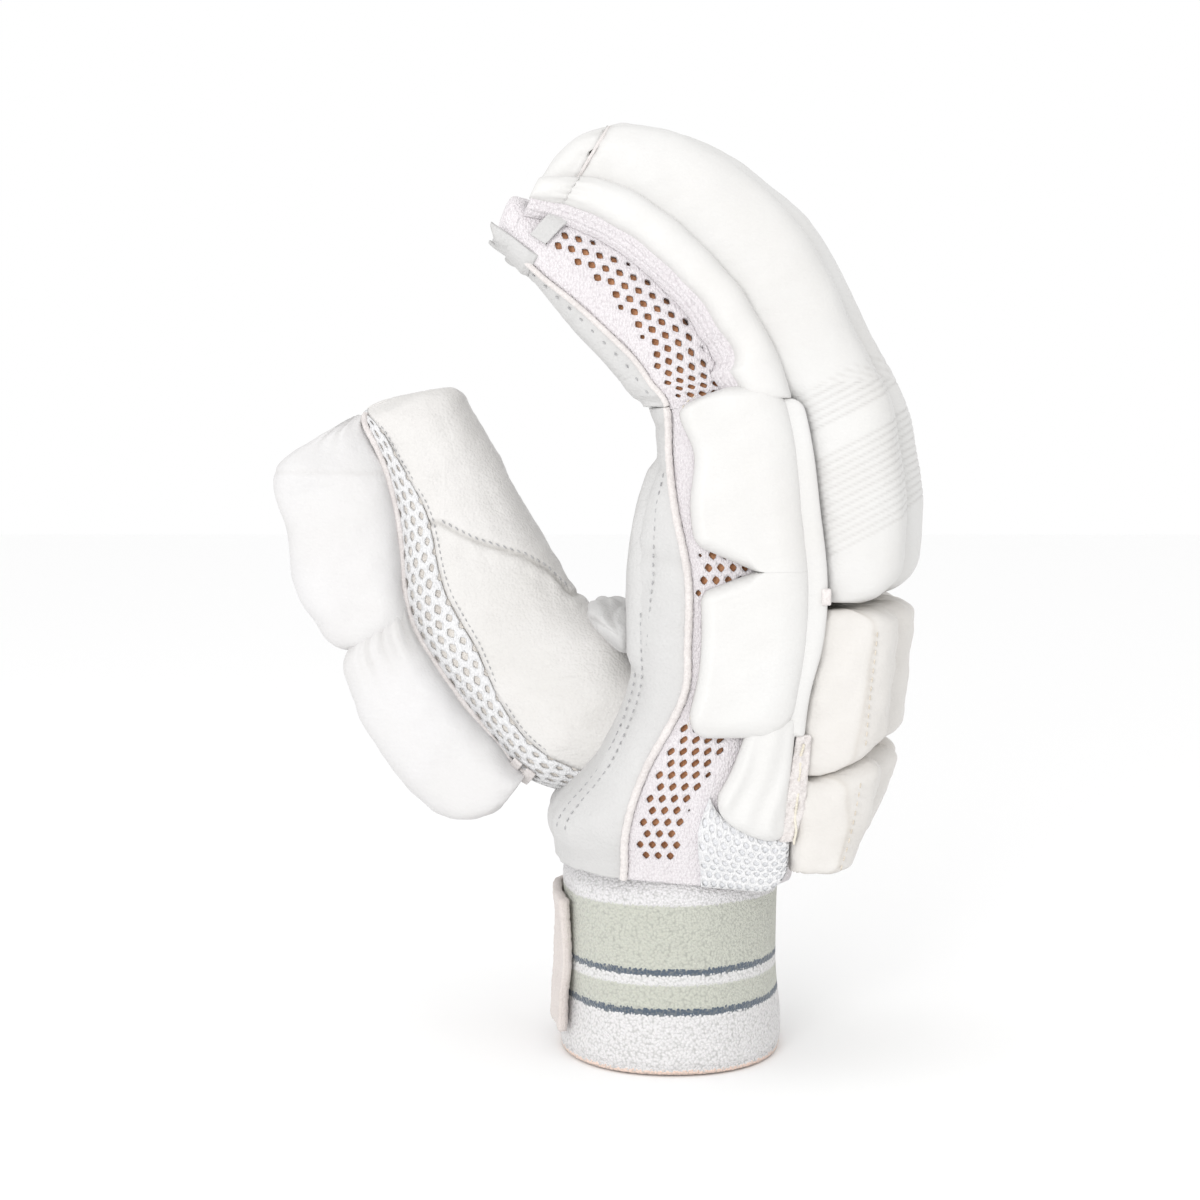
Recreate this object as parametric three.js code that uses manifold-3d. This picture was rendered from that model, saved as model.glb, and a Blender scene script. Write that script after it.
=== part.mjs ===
// Cricket batting glove, left hand, in its worn form.
// Millimetres. +Z runs up to the fingers, -X is the palm side, +X the back of the hand,
// -Y the little finger's side and +Y the thumb's side.
// The origin is the centre of the wrist opening at the cuff's lower rim.
import * as THREE from 'three';
import { mergeVertices } from 'three/addons/utils/BufferGeometryUtils.js';
import Module from 'manifold-3d';

const wasm = await Module();
wasm.setup();

// Driving sizes
const GLOVE_HEIGHT = 254;
const HAND_DEPTH = 73;
const FINGER_PITCH = 22;
const KNUCKLE_ARCH = 11;

// Walls and small sizes
const LEATHER = 1.6;
const KNIT = 1.4;
const LINING = 1;
const PATCH_WALL = 1.2;
const CLEARANCE = 0.35;
const FINGER_GAP = 2.2;
const BINDING_WIDTH = 2.2;
const SIDE_ROLL_BULGE = 6.5;
const SIDE_PAD_THICKNESS = 6.5;
const SPACER_THICKNESS = 4.5;
const SIDE_LEATHER_THICKNESS = 3;
const STRIP_THICKNESS = 2;
const HOLE_WIDTH = 3.2;
const HOLE_PITCH = 5.2;
const CUFF_WALL = 2.6;
const CUFF_OVERLAP = 3.5;
const STRAP_WALL = 2.6;
const STRAP_WIDTH = 37;
const STRAP_FROM_RIM = 7.3;
const TAB_WALL = 1.2;

// How square each section is: 2 is an ellipse, more is squarer
const HAND_POWER = 3;
const FINGER_POWER = 2.5;
const ROLL_POWER = 2.7;
const BLOCK_POWER = 4;
const CUFF_POWER = 2.15;

// Sections of the hand and the little finger, wrist first, finger tip last.
// palmX and backX are shares of HAND_DEPTH, palmZ and backZ shares of GLOVE_HEIGHT.
// seam, bar, edge and base are shares of the section's own depth, palm to back:
// seam ends the palm leather, bar starts the side bar, edge ends it, and base carries the padding.
// side is the share of the hand's half width, archBack and archPalm are shares of KNUCKLE_ARCH.
const SECTIONS = [
  { palmX: -0.454, palmZ: 0.232, backX: 0.636, backZ: 0.214, seam: 0.246, bar: 0.3, edge: 0.8, base: 0.83,
    side: 0.9, archBack: 0.35, archPalm: 0 },
  { palmX: -0.472, palmZ: 0.268, backX: 0.706, backZ: 0.268, seam: 0.249, bar: 0.3, edge: 0.76, base: 0.78,
    side: 0.95, archBack: 0.7, archPalm: 0 },
  { palmX: -0.315, palmZ: 0.33, backX: 0.756, backZ: 0.333, seam: 0.194, bar: 0.27, edge: 0.705, base: 0.72,
    side: 0.98, archBack: 0.95, archPalm: 0.2 },
  { palmX: -0.208, palmZ: 0.406, backX: 0.781, backZ: 0.409, seam: 0.236, bar: 0.27, edge: 0.68, base: 0.69,
    side: 1, archBack: 1, archPalm: 0.4 },
  { palmX: -0.199, palmZ: 0.46, backX: 0.8, backZ: 0.464, seam: 0.24, bar: 0.285, edge: 0.695, base: 0.7,
    side: 1, archBack: 1, archPalm: 0.45 },
  { palmX: -0.202, palmZ: 0.529, backX: 0.819, backZ: 0.532, seam: 0.238, bar: 0.275, edge: 0.69, base: 0.695,
    side: 1, archBack: 1, archPalm: 0.45 },
  { palmX: -0.164, palmZ: 0.601, backX: 0.832, backZ: 0.601, seam: 0.16, bar: 0.21, edge: 0.643, base: 0.65,
    side: 1, archBack: 1, archPalm: 0.45 },
  { palmX: -0.105, palmZ: 0.656, backX: 0.804, backZ: 0.659, seam: 0.09, bar: 0.18, edge: 0.616, base: 0.62,
    side: 1, archBack: 1, archPalm: 0.45 },
  { palmX: -0.139, palmZ: 0.706, backX: 0.769, backZ: 0.714, seam: 0.115, bar: 0.165, edge: 0.611, base: 0.6,
    side: 1, archBack: 0.95, archPalm: 0.45 },
  { palmX: -0.189, palmZ: 0.726, backX: 0.649, backZ: 0.781, seam: 0.11, bar: 0.457, edge: 0.65, base: 0.465,
    side: 1, archBack: 0.85, archPalm: 0.45 },
  { palmX: -0.221, palmZ: 0.737, backX: 0.536, backZ: 0.851, seam: 0.11, bar: 0.46, edge: 0.64, base: 0.468,
    side: 1, archBack: 0.75, archPalm: 0.45 },
  { palmX: -0.267, palmZ: 0.752, backX: 0.41, backZ: 0.906, seam: 0.105, bar: 0.462, edge: 0.63, base: 0.47,
    side: 1, archBack: 0.65, archPalm: 0.42 },
  { palmX: -0.403, palmZ: 0.798, backX: 0.151, backZ: 0.969, seam: 0.08, bar: 0.45, edge: 0.635, base: 0.46,
    side: 1, archBack: 0.5, archPalm: 0.35 },
  { palmX: -0.509, palmZ: 0.833, backX: -0.139, backZ: 0.998, seam: 0.055, bar: 0.435, edge: 0.645,
    base: 0.45, side: 1, archBack: 0.4, archPalm: 0.3 },
  { palmX: -0.618, palmZ: 0.869, backX: -0.41, backZ: 0.985, seam: 0.05, bar: 0.42, edge: 0.62, base: 0.44,
    side: 1, archBack: 0.3, archPalm: 0.25 },
];

// Sections of the thumb, root first. edge is the side by the fingers and guard the far side of the guard.
// edgeX and guardX are shares of HAND_DEPTH, edgeZ and guardZ shares of GLOVE_HEIGHT.
// leather ends the inner leather and mesh ends the mesh, as shares of the section's own width.
// middle and half place the section across the hand, as shares of FINGER_PITCH.
const THUMB_SECTIONS = [
  { edgeX: -0.06, edgeZ: 0.395, guardX: -0.4, guardZ: 0.215, leather: 0.55, mesh: 0.72,
    middle: 0.58, half: 0.95 },
  { edgeX: -0.2, edgeZ: 0.431, guardX: -0.68, guardZ: 0.235, leather: 0.56, mesh: 0.74,
    middle: 0.67, half: 0.97 },
  { edgeX: -0.302, edgeZ: 0.471, guardX: -0.958, guardZ: 0.257, leather: 0.5, mesh: 0.65,
    middle: 0.83, half: 0.9 },
  { edgeX: -0.416, edgeZ: 0.518, guardX: -1.197, guardZ: 0.34, leather: 0.44, mesh: 0.65,
    middle: 0.96, half: 0.82 },
  { edgeX: -0.529, edgeZ: 0.572, guardX: -1.317, guardZ: 0.42, leather: 0.45, mesh: 0.67,
    middle: 1.08, half: 0.75 },
  { edgeX: -0.655, edgeZ: 0.637, guardX: -1.487, guardZ: 0.5, leather: 0.36, mesh: 0.53,
    middle: 1.17, half: 0.7 },
  { edgeX: -0.78, edgeZ: 0.7, guardX: -1.525, guardZ: 0.569, leather: 0.39, mesh: 0.5,
    middle: 1.21, half: 0.64 },
  { edgeX: -0.87, edgeZ: 0.73, guardX: -1.563, guardZ: 0.637, leather: 0.42, mesh: 0.52,
    middle: 1.21, half: 0.5 },
  { edgeX: -1.1, edgeZ: 0.72, guardX: -1.3, guardZ: 0.694, leather: 0.5, mesh: 0.6,
    middle: 1.21, half: 0.14 },
];

// Fingers: place across the hand, as a share of FINGER_PITCH
const FINGERS = [
  { name: 'little', place: -1.5 },
  { name: 'ring', place: -0.5 },
  { name: 'middle', place: 0.5 },
  { name: 'index', place: 1.5 },
];

// Where pieces start and stop, counted in rows of SECTIONS
const HAND_END = 8;
const FINGER_START = 8.06;
const FINGER_END = 14;
const CAP_START = 13.34;
const ROLL_START = 4.6;
const ROLL_END = 13.3;
const SIDE_ROLL_START = 8.4;
const KNUCKLE_ROW = [2.16, 4.5];
const WRIST_ROW = [0.1, 2.1];
const GUARD_SPLIT = 4.05;

// Arch of the knuckles: nothing over the little finger, whole by the middle finger
const ARCH_PEAK = 0.58;
const ARCH_REACH = 2.08;

const { lerp, clamp } = THREE.MathUtils;

// Curve through the rows of a table's column, straight past its ends
function along(table, column, t) {
  const last = table.length - 1;
  const row = clamp(Math.floor(t), 0, last - 1);
  const f = t - row;
  const value = (i) => table[clamp(i, 0, last)][column];
  const [a, b, c, d] = [value(row - 1), value(row), value(row + 1), value(row + 2)];
  if (f < 0 || f > 1) {
    return b + (c - b) * f;
  }
  const slopes = 0.5 * (c - a) * (f ** 3 - 2 * f ** 2 + f) + 0.5 * (d - b) * (f ** 3 - f ** 2);
  return b * (2 * f ** 3 - 3 * f ** 2 + 1) + c * (3 * f ** 2 - 2 * f ** 3) + slopes;
}

function archAt(y) {
  const place = clamp(y / FINGER_PITCH, FINGERS[0].place, FINGERS[3].place + 0.5);
  return KNUCKLE_ARCH * (1 - ((place - ARCH_PEAK) / ARCH_REACH) ** 2);
}

function sectionAt(t) {
  const value = (name) => along(SECTIONS, name, t);
  const palm = new THREE.Vector2(value('palmX') * HAND_DEPTH, value('palmZ') * GLOVE_HEIGHT);
  const back = new THREE.Vector2(value('backX') * HAND_DEPTH, value('backZ') * GLOVE_HEIGHT);
  const depth = palm.distanceTo(back);
  const base = value('base') * depth;
  return {
    palm,
    depth,
    direction: back.clone().sub(palm).divideScalar(depth),
    seam: value('seam') * depth,
    bar: value('bar') * depth,
    edge: value('edge') * depth,
    base,
    wall: base - 2 * CLEARANCE,
    half: value('side') * 2 * FINGER_PITCH,
    archBack: value('archBack'),
    archPalm: value('archPalm'),
  };
}

// A point of the hand: section t, depth from the palm's line, and place across the hand
function bodyPoint(t, depth, y) {
  const s = sectionAt(t);
  const arch = archAt(y);
  const stretch = 1 + (arch * (s.archBack - s.archPalm)) / s.depth;
  const reach = arch * s.archPalm + depth * stretch;
  return new THREE.Vector3(s.palm.x + s.direction.x * reach, y, s.palm.y + s.direction.y * reach);
}

// Unit superellipse at an angle: 0 faces the palm, a quarter turn faces the thumb's side
function rounded(angle, power) {
  const c = Math.cos(angle);
  const s = Math.sin(angle);
  return [Math.sign(c) * Math.abs(c) ** (2 / power), Math.sign(s) * Math.abs(s) ** (2 / power)];
}

// Angle at which a rounded section of half depth h is `depth` away from its palm side
function angleAt(depth, h, power) {
  const share = clamp((h - depth) / h, -1, 1);
  return Math.acos(Math.sign(share) * Math.abs(share) ** (power / 2));
}

function handPoint(t, angle, offset) {
  const s = sectionAt(t);
  const h = s.wall / 2;
  const [c, n] = rounded(angle, HAND_POWER);
  return bodyPoint(t, h - (h + offset) * c, (s.half + offset) * n);
}

const FINGER_HALF = (FINGER_PITCH - FINGER_GAP) / 2;

function fingerPoint(finger, t, angle, offset) {
  const s = sectionAt(t);
  const h = s.wall / 2;
  const [c, n] = rounded(angle, FINGER_POWER);
  return bodyPoint(t, h - (h + offset) * c, finger.place * FINGER_PITCH + (FINGER_HALF + offset) * n);
}

// The little finger's side of the hand, flat: a depth share is taken from the section's own depth
function sidePoint(t, depth, offset) {
  return bodyPoint(t, depth, -(sectionAt(t).half + offset));
}

function thumbSection(t) {
  const value = (name) => along(THUMB_SECTIONS, name, t);
  const edge = new THREE.Vector2(value('edgeX') * HAND_DEPTH, value('edgeZ') * GLOVE_HEIGHT);
  const guard = new THREE.Vector2(value('guardX') * HAND_DEPTH, value('guardZ') * GLOVE_HEIGHT);
  const width = edge.distanceTo(guard);
  return {
    edge,
    width,
    direction: guard.clone().sub(edge).divideScalar(width),
    leather: value('leather') * width,
    mesh: value('mesh') * width,
    middle: value('middle') * FINGER_PITCH,
    half: value('half') * FINGER_PITCH,
  };
}

function thumbSpot(t, across, y) {
  const s = thumbSection(t);
  const spot = s.direction.clone().multiplyScalar(across).add(s.edge);
  return new THREE.Vector3(spot.x, s.middle + y, spot.y);
}

function thumbPoint(t, angle, offset) {
  const s = thumbSection(t);
  const h = (s.mesh - CLEARANCE) / 2;
  const [c, n] = rounded(angle, FINGER_POWER);
  return thumbSpot(t, h - (h + offset) * c, (s.half + offset) * n);
}

// Closed shapes as points and triangles

function outward(points, triangles) {
  let volume = 0;
  for (const [a, b, c] of triangles) {
    volume += points[a].dot(points[b].clone().cross(points[c]));
  }
  return { points, triangles: volume < 0 ? triangles.map(([a, b, c]) => [a, c, b]) : triangles };
}

// A wall over a square of (u, v): point(u, v, 0) is its inner face and point(u, v, 1) its outer face
function wallShape(point, nu, nv) {
  const points = [];
  for (const side of [0, 1]) {
    for (let i = 0; i <= nu; i += 1) {
      for (let j = 0; j <= nv; j += 1) {
        points.push(point(i / nu, j / nv, side));
      }
    }
  }
  const at = (side, i, j) => (side * (nu + 1) + i) * (nv + 1) + j;
  const triangles = [];
  const quad = (a, b, c, d) => triangles.push([a, b, c], [a, c, d]);
  for (let i = 0; i < nu; i += 1) {
    for (let j = 0; j < nv; j += 1) {
      quad(at(1, i, j), at(1, i + 1, j), at(1, i + 1, j + 1), at(1, i, j + 1));
      quad(at(0, i, j), at(0, i, j + 1), at(0, i + 1, j + 1), at(0, i + 1, j));
    }
  }
  for (let i = 0; i < nu; i += 1) {
    quad(at(0, i, 0), at(0, i + 1, 0), at(1, i + 1, 0), at(1, i, 0));
    quad(at(0, i, nv), at(1, i, nv), at(1, i + 1, nv), at(0, i + 1, nv));
  }
  for (let j = 0; j < nv; j += 1) {
    quad(at(0, 0, j), at(1, 0, j), at(1, 0, j + 1), at(0, 0, j + 1));
    quad(at(0, nu, j), at(0, nu, j + 1), at(1, nu, j + 1), at(1, nu, j));
  }
  return outward(points, triangles);
}

// A tube wall: point(u, angle, side), closed round the angle
function tubeShape(point, nu, nv) {
  const points = [];
  for (const side of [0, 1]) {
    for (let i = 0; i <= nu; i += 1) {
      for (let j = 0; j < nv; j += 1) {
        points.push(point(i / nu, (j / nv) * 2 * Math.PI, side));
      }
    }
  }
  const at = (side, i, j) => (side * (nu + 1) + i) * nv + (j % nv);
  const triangles = [];
  const quad = (a, b, c, d) => triangles.push([a, b, c], [a, c, d]);
  for (let j = 0; j < nv; j += 1) {
    for (let i = 0; i < nu; i += 1) {
      quad(at(1, i, j), at(1, i + 1, j), at(1, i + 1, j + 1), at(1, i, j + 1));
      quad(at(0, i, j), at(0, i, j + 1), at(0, i + 1, j + 1), at(0, i + 1, j));
    }
    quad(at(0, 0, j), at(1, 0, j), at(1, 0, j + 1), at(0, 0, j + 1));
    quad(at(0, nu, j), at(0, nu, j + 1), at(1, nu, j + 1), at(1, nu, j));
  }
  return outward(points, triangles);
}

// A solid lofted through rings: ring(i, angle) for each entry of `rows`
function loftShape(ring, rows, nv) {
  const points = [];
  for (const row of rows) {
    for (let j = 0; j < nv; j += 1) {
      points.push(ring(row, (j / nv) * 2 * Math.PI));
    }
  }
  const triangles = [];
  const at = (i, j) => i * nv + (j % nv);
  for (let i = 0; i < rows.length - 1; i += 1) {
    for (let j = 0; j < nv; j += 1) {
      triangles.push([at(i, j), at(i + 1, j), at(i + 1, j + 1)], [at(i, j), at(i + 1, j + 1), at(i, j + 1)]);
    }
  }
  for (const end of [0, rows.length - 1]) {
    const middle = new THREE.Vector3();
    for (let j = 0; j < nv; j += 1) {
      middle.addScaledVector(points[at(end, j)], 1 / nv);
    }
    points.push(middle);
    const centre = points.length - 1;
    for (let j = 0; j < nv; j += 1) {
      triangles.push(end === 0 ? [centre, at(end, j), at(end, j + 1)] : [centre, at(end, j + 1), at(end, j)]);
    }
  }
  return outward(points, triangles);
}

// Shapes, geometries and solids

function solidOf({ points, triangles }) {
  const vertProperties = new Float32Array(points.flatMap((p) => [p.x, p.y, p.z]));
  const triVerts = new Uint32Array(triangles.flat());
  return new wasm.Manifold(new wasm.Mesh({ numProp: 3, vertProperties, triVerts }));
}

function solidOfGeometry(geometry) {
  const bare = geometry.index ? geometry.toNonIndexed() : geometry.clone();
  bare.deleteAttribute('normal');
  bare.deleteAttribute('uv');
  const merged = mergeVertices(bare, 1e-4);
  const vertProperties = new Float32Array(merged.attributes.position.array);
  const triVerts = new Uint32Array(merged.index.array);
  return new wasm.Manifold(new wasm.Mesh({ numProp: 3, vertProperties, triVerts }));
}

function geometryOf(shape) {
  const geometry = new THREE.BufferGeometry();
  if (shape.points) {
    const coordinates = shape.points.flatMap((p) => [p.x, p.y, p.z]);
    geometry.setAttribute('position', new THREE.Float32BufferAttribute(coordinates, 3));
    geometry.setIndex(shape.triangles.flat());
    return geometry;
  }
  const mesh = shape.getMesh();
  geometry.setAttribute('position', new THREE.BufferAttribute(new Float32Array(mesh.vertProperties), 3));
  geometry.setIndex(Array.from(mesh.triVerts));
  return geometry;
}

// Finishes
const FINISHES = {
  rollLeather: { color: 0xf7f5f2, roughness: 0.55 },
  blockLeather: { color: 0xf3eee6, roughness: 0.6 },
  palmLeather: { color: 0xe2e2e4, roughness: 0.65 },
  thumbLeather: { color: 0xeeebe6, roughness: 0.65 },
  knit: { color: 0xeee8f2, roughness: 0.95 },
  spacer: { color: 0xe6e8ec, roughness: 0.9 },
  lining: { color: 0x8a4f2a, roughness: 0.9 },
  towelling: { color: 0xccd1c2, roughness: 1 },
  hookTape: { color: 0xd9cfcc, roughness: 1 },
  edging: { color: 0xefe6cf, roughness: 0.85 },
};

const glove = new THREE.Group();
glove.name = 'batting_glove';

function addPiece(name, shape, finish) {
  const material = new THREE.MeshStandardMaterial({ ...FINISHES[finish], metalness: 0 });
  const mesh = new THREE.Mesh(geometryOf(shape), material);
  mesh.name = name;
  glove.add(mesh);
}

// Rows of a padded piece, closer together at its rounded ends, with the size left there
function padRows([t0, t1], steps, { start, end, least }) {
  const rows = [];
  for (let i = 0; i <= steps; i += 1) {
    const u = 0.5 - 0.5 * Math.cos((Math.PI * i) / steps);
    const t = lerp(t0, t1, lerp(i / steps, u, 0.6));
    const rise = clamp((t - t0) / start, 0, 1);
    const fall = end ? clamp((t1 - t) / end, 0, 1) : 1;
    const dome = Math.sqrt(1 - (1 - Math.min(rise, fall)) ** 2);
    rows.push({ t, size: lerp(least, 1, dome) });
  }
  return rows;
}

// The side bar's slim roll, on the outer side of the little finger
function sideRollShape([t0, t1], ends, extra) {
  return loftShape(({ t, size }, angle) => {
    const s = sectionAt(t);
    const middle = (s.bar + s.edge) / 2;
    const half = ((s.edge - s.bar - CLEARANCE) / 2) * lerp(0.8, 1, size) + extra;
    const [c, n] = rounded(angle, ROLL_POWER);
    return sidePoint(t, middle - half * c, (SIDE_ROLL_BULGE * size + extra) * n);
  }, padRows([t0, t1], 10, ends), 10);
}

const SIDE_TRIM_ROWS = [SIDE_ROLL_START - 0.12, FINGER_END + 0.1];
const sideRollTrim = solidOf(
  sideRollShape(SIDE_TRIM_ROWS, { start: 0.5, end: 0.4, least: 0.5 }, 2 * CLEARANCE),
);

// Walls of the hand and of a finger

// Steps of every wall along the hand and along a finger
const HAND_STEPS = 10;
const FINGER_STEPS = 6;
const DORSAL_CORNER = 0.75;
const GUSSET_TOP = 0.5;
const RADIAL_LEATHER_SHARE = 0.62;

function seamAngle(t, power) {
  const s = sectionAt(t);
  return angleAt(s.seam, s.wall / 2, power);
}

function gapAngle(t) {
  return (2 * CLEARANCE) / (sectionAt(t).wall / 2);
}

function handWall([t0, t1], angles, [inner, outer], nu, nv) {
  return wallShape((u, v, side) => {
    const t = lerp(t0, t1, u);
    const [from, to] = angles(t);
    return handPoint(t, lerp(from, to, v), side ? outer : inner);
  }, nu, nv);
}

function fingerWall(finger, [t0, t1], angles, [inner, outer], nu, nv) {
  return wallShape((u, v, side) => {
    const t = lerp(t0, t1, u);
    const [from, to] = angles(t);
    return fingerPoint(finger, t, lerp(from, to, v), side ? outer : inner);
  }, nu, nv);
}

const radialAngle = (t) => {
  const s = sectionAt(t);
  return angleAt(s.wall * RADIAL_LEATHER_SHARE, s.wall / 2, HAND_POWER);
};

// Whole volumes of the hand and thumb, which trim the walls that meet them
function handVolume(offset) {
  const rows = [-0.6, 0, 1, 2, 3, 4, 5, 6, 7, HAND_END];
  return solidOf(loftShape((t, angle) => handPoint(t, angle, offset), rows, 32));
}

function thumbVolume(offset) {
  return solidOf(loftShape((t, angle) => thumbPoint(t, angle, offset), [0, 0.6, 1.2, 2, 3, 4], 20));
}

function palmLeather() {
  const palm = handWall(
    [0, HAND_END],
    (t) => [-seamAngle(t, HAND_POWER), radialAngle(t)],
    [-LEATHER, 0],
    HAND_STEPS,
    8,
  );
  let leather = solidOf(palm).subtract(thumbVolume(-LEATHER));
  for (const finger of FINGERS) {
    const angles = (t) => [-seamAngle(t, FINGER_POWER), seamAngle(t, FINGER_POWER)];
    const front = fingerWall(finger, [HAND_END - 0.02, FINGER_END], angles, [-LEATHER, 0], FINGER_STEPS, 4);
    leather = leather.add(solidOf(front));
  }
  return leather;
}

addPiece('palm_leather', palmLeather(), 'palmLeather');

const PATCH_ROWS = [4, 6.75];
addPiece(
  'palm_patch',
  handWall(
    PATCH_ROWS,
    (t) => [-angleAt(sectionAt(t).seam * 0.4, sectionAt(t).wall / 2, HAND_POWER), -0.12],
    [2 * CLEARANCE, 2 * CLEARANCE + PATCH_WALL],
    5,
    6,
  ),
  'palmLeather',
);

// The piped edge of the palm leather, which stops short of the fingers
const BINDING_STOP = 0.15;
function bindingShape() {
  const r = BINDING_WIDTH / 2;
  const rows = [];
  for (let i = 0; i <= HAND_STEPS; i += 1) {
    rows.push(((HAND_END - BINDING_STOP) * i) / HAND_STEPS);
  }
  return loftShape((t, angle) => {
    const centre = handPoint(t, -seamAngle(t, HAND_POWER), 2 * CLEARANCE + r);
    const level = r * Math.cos(angle);
    return new THREE.Vector3(centre.x + level, centre.y + r * Math.sin(angle), centre.z);
  }, rows, 6);
}
addPiece('palm_binding', bindingShape(), 'edging');

// Pierced knit: holes on a staggered grid of sections and depth shares
function holesOn(spots, length) {
  let holes = null;
  for (const spot of spots) {
    const drill = new THREE.CylinderGeometry(HOLE_WIDTH / 2, HOLE_WIDTH / 2, length, 4);
    drill.translate(spot.x, spot.y, spot.z);
    const hole = solidOfGeometry(drill);
    holes = holes ? holes.add(hole) : hole;
  }
  return holes;
}

// Spots of a staggered grid that runs along the rows, kept HOLE_PITCH apart both ways
function meshSpots([t0, t1], depths, point) {
  const spots = [];
  let t = t0;
  let turn = 0;
  while (t <= t1) {
    const [from, to] = depths(t);
    const count = Math.floor((to - from) / HOLE_PITCH);
    const start = from + (to - from - count * HOLE_PITCH) / 2 + (turn % 2 ? HOLE_PITCH / 2 : 0);
    for (let i = 0; start + i * HOLE_PITCH <= to; i += 1) {
      spots.push(point(t, start + i * HOLE_PITCH));
    }
    const here = point(t, from);
    const there = point(t + 0.1, from);
    const mid = point(t, to).distanceTo(point(t + 0.1, to));
    const step = (here.distanceTo(there) + mid) / 2;
    t += (0.1 * HOLE_PITCH * 0.8) / step;
    turn += 1;
  }
  return spots;
}

const NOTCH = { from: 4.96, to: 5.3, start: 0.3, end: 0.43 };
const WRIST_MESH = { from: 0.35, to: 2.35, margin: 0.05, end: 0.52 };
const FINGER_MESH = { from: 8.75, to: 13.55, margin: 0.05 };

function sideMesh() {
  const wall = handWall(
    [0, HAND_END],
    (t) => [-seamAngle(t, HAND_POWER) - gapAngle(t), -(Math.PI - DORSAL_CORNER)],
    [-KNIT, 0],
    HAND_STEPS,
    6,
  );
  const onWall = (t, depth) => handPoint(t, -angleAt(depth, sectionAt(t).wall / 2, HAND_POWER), -KNIT / 2);
  const wristDepths = (t) => {
    const s = sectionAt(t);
    return [s.seam + WRIST_MESH.margin * s.depth, WRIST_MESH.end * s.depth];
  };
  const notchDepths = (t) => [NOTCH.start * sectionAt(t).depth, NOTCH.end * sectionAt(t).depth];
  const spots = meshSpots([WRIST_MESH.from, WRIST_MESH.to], wristDepths, onWall);
  spots.push(...meshSpots([NOTCH.from, NOTCH.to], notchDepths, onWall));
  return solidOf(wall).subtract(holesOn(spots, 8 * KNIT));
}
addPiece('side_mesh', sideMesh(), 'knit');

addPiece(
  'side_lining_hand',
  handWall(
    [0.15, HAND_END - 0.15],
    (t) => [-seamAngle(t, HAND_POWER) - 0.02, -(Math.PI - DORSAL_CORNER) + 0.03],
    [-KNIT - 2 * CLEARANCE - LINING, -KNIT - 2 * CLEARANCE],
    8,
    5,
  ),
  'lining',
);

addPiece(
  'back_panel',
  handWall(
    [0, HAND_END],
    (t) => [Math.PI - DORSAL_CORNER + gapAngle(t), Math.PI + DORSAL_CORNER - gapAngle(t)],
    [-LINING - KNIT, 0],
    HAND_STEPS,
    6,
  ),
  'knit',
);

function radialMesh() {
  const wall = handWall(
    [0, HAND_END],
    (t) => [radialAngle(t) + gapAngle(t), Math.PI - DORSAL_CORNER],
    [-KNIT, 0],
    HAND_STEPS,
    4,
  );
  return solidOf(wall).subtract(thumbVolume(-LEATHER));
}
addPiece('radial_mesh', radialMesh(), 'knit');

// Finger gussets: a wall on each side of a finger, joined at the crotch between two fingers

function gussetWall(finger, side) {
  const angles = (t) => [side * (seamAngle(t, FINGER_POWER) + gapAngle(t)), side * (Math.PI - GUSSET_TOP)];
  return fingerWall(finger, [FINGER_START, FINGER_END], angles, [-KNIT, 0], FINGER_STEPS, 3);
}

function crotch(finger, next) {
  const low = finger.place * FINGER_PITCH + FINGER_HALF - KNIT * 0.7;
  const high = next.place * FINGER_PITCH - FINGER_HALF + KNIT * 0.7;
  return wallShape((u, v, side) => {
    const t = lerp(FINGER_START + 0.01, FINGER_START + 0.25, side);
    const s = sectionAt(t);
    return bodyPoint(t, lerp(0.4, 0.62, u) * s.wall, lerp(low, high, v));
  }, 2, 1);
}

const LITTLE = FINGERS[0];
const onFinger = (t, depth) => {
  const h = sectionAt(t).wall / 2;
  return fingerPoint(LITTLE, t, -angleAt(depth, h, FINGER_POWER), -KNIT / 2);
};
const fingerDepths = (t) => {
  const s = sectionAt(t);
  const margin = FINGER_MESH.margin * s.depth;
  return [s.seam + margin, Math.min(s.wall * 0.86, s.bar - margin)];
};
addPiece(
  'gusset_little_outer',
  solidOf(gussetWall(LITTLE, -1))
    .subtract(sideRollTrim)
    .subtract(holesOn(meshSpots([FINGER_MESH.from, FINGER_MESH.to], fingerDepths, onFinger), 5 * KNIT)),
  'knit',
);
const liningEnd = (t) => {
  const s = sectionAt(t);
  return angleAt(Math.min(s.wall * 0.93, s.bar - 0.02 * s.depth), s.wall / 2, FINGER_POWER);
};
addPiece(
  'side_lining_finger',
  solidOf(fingerWall(
    LITTLE,
    [FINGER_START + 0.1, FINGER_END - 0.1],
    (t) => [-seamAngle(t, FINGER_POWER) - 0.05, -liningEnd(t)],
    [-KNIT - 2 * CLEARANCE - LINING, -KNIT - 2 * CLEARANCE],
    6,
    3,
  )).subtract(sideRollTrim),
  'lining',
);
for (let i = 0; i < FINGERS.length - 1; i += 1) {
  const [finger, next] = [FINGERS[i], FINGERS[i + 1]];
  const walls = solidOf(gussetWall(finger, 1)).add(solidOf(gussetWall(next, -1)));
  addPiece(`gusset_${finger.name}_${next.name}`, walls.add(solidOf(crotch(finger, next))), 'knit');
}
addPiece('gusset_index_outer', gussetWall(FINGERS[3], 1), 'knit');

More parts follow.
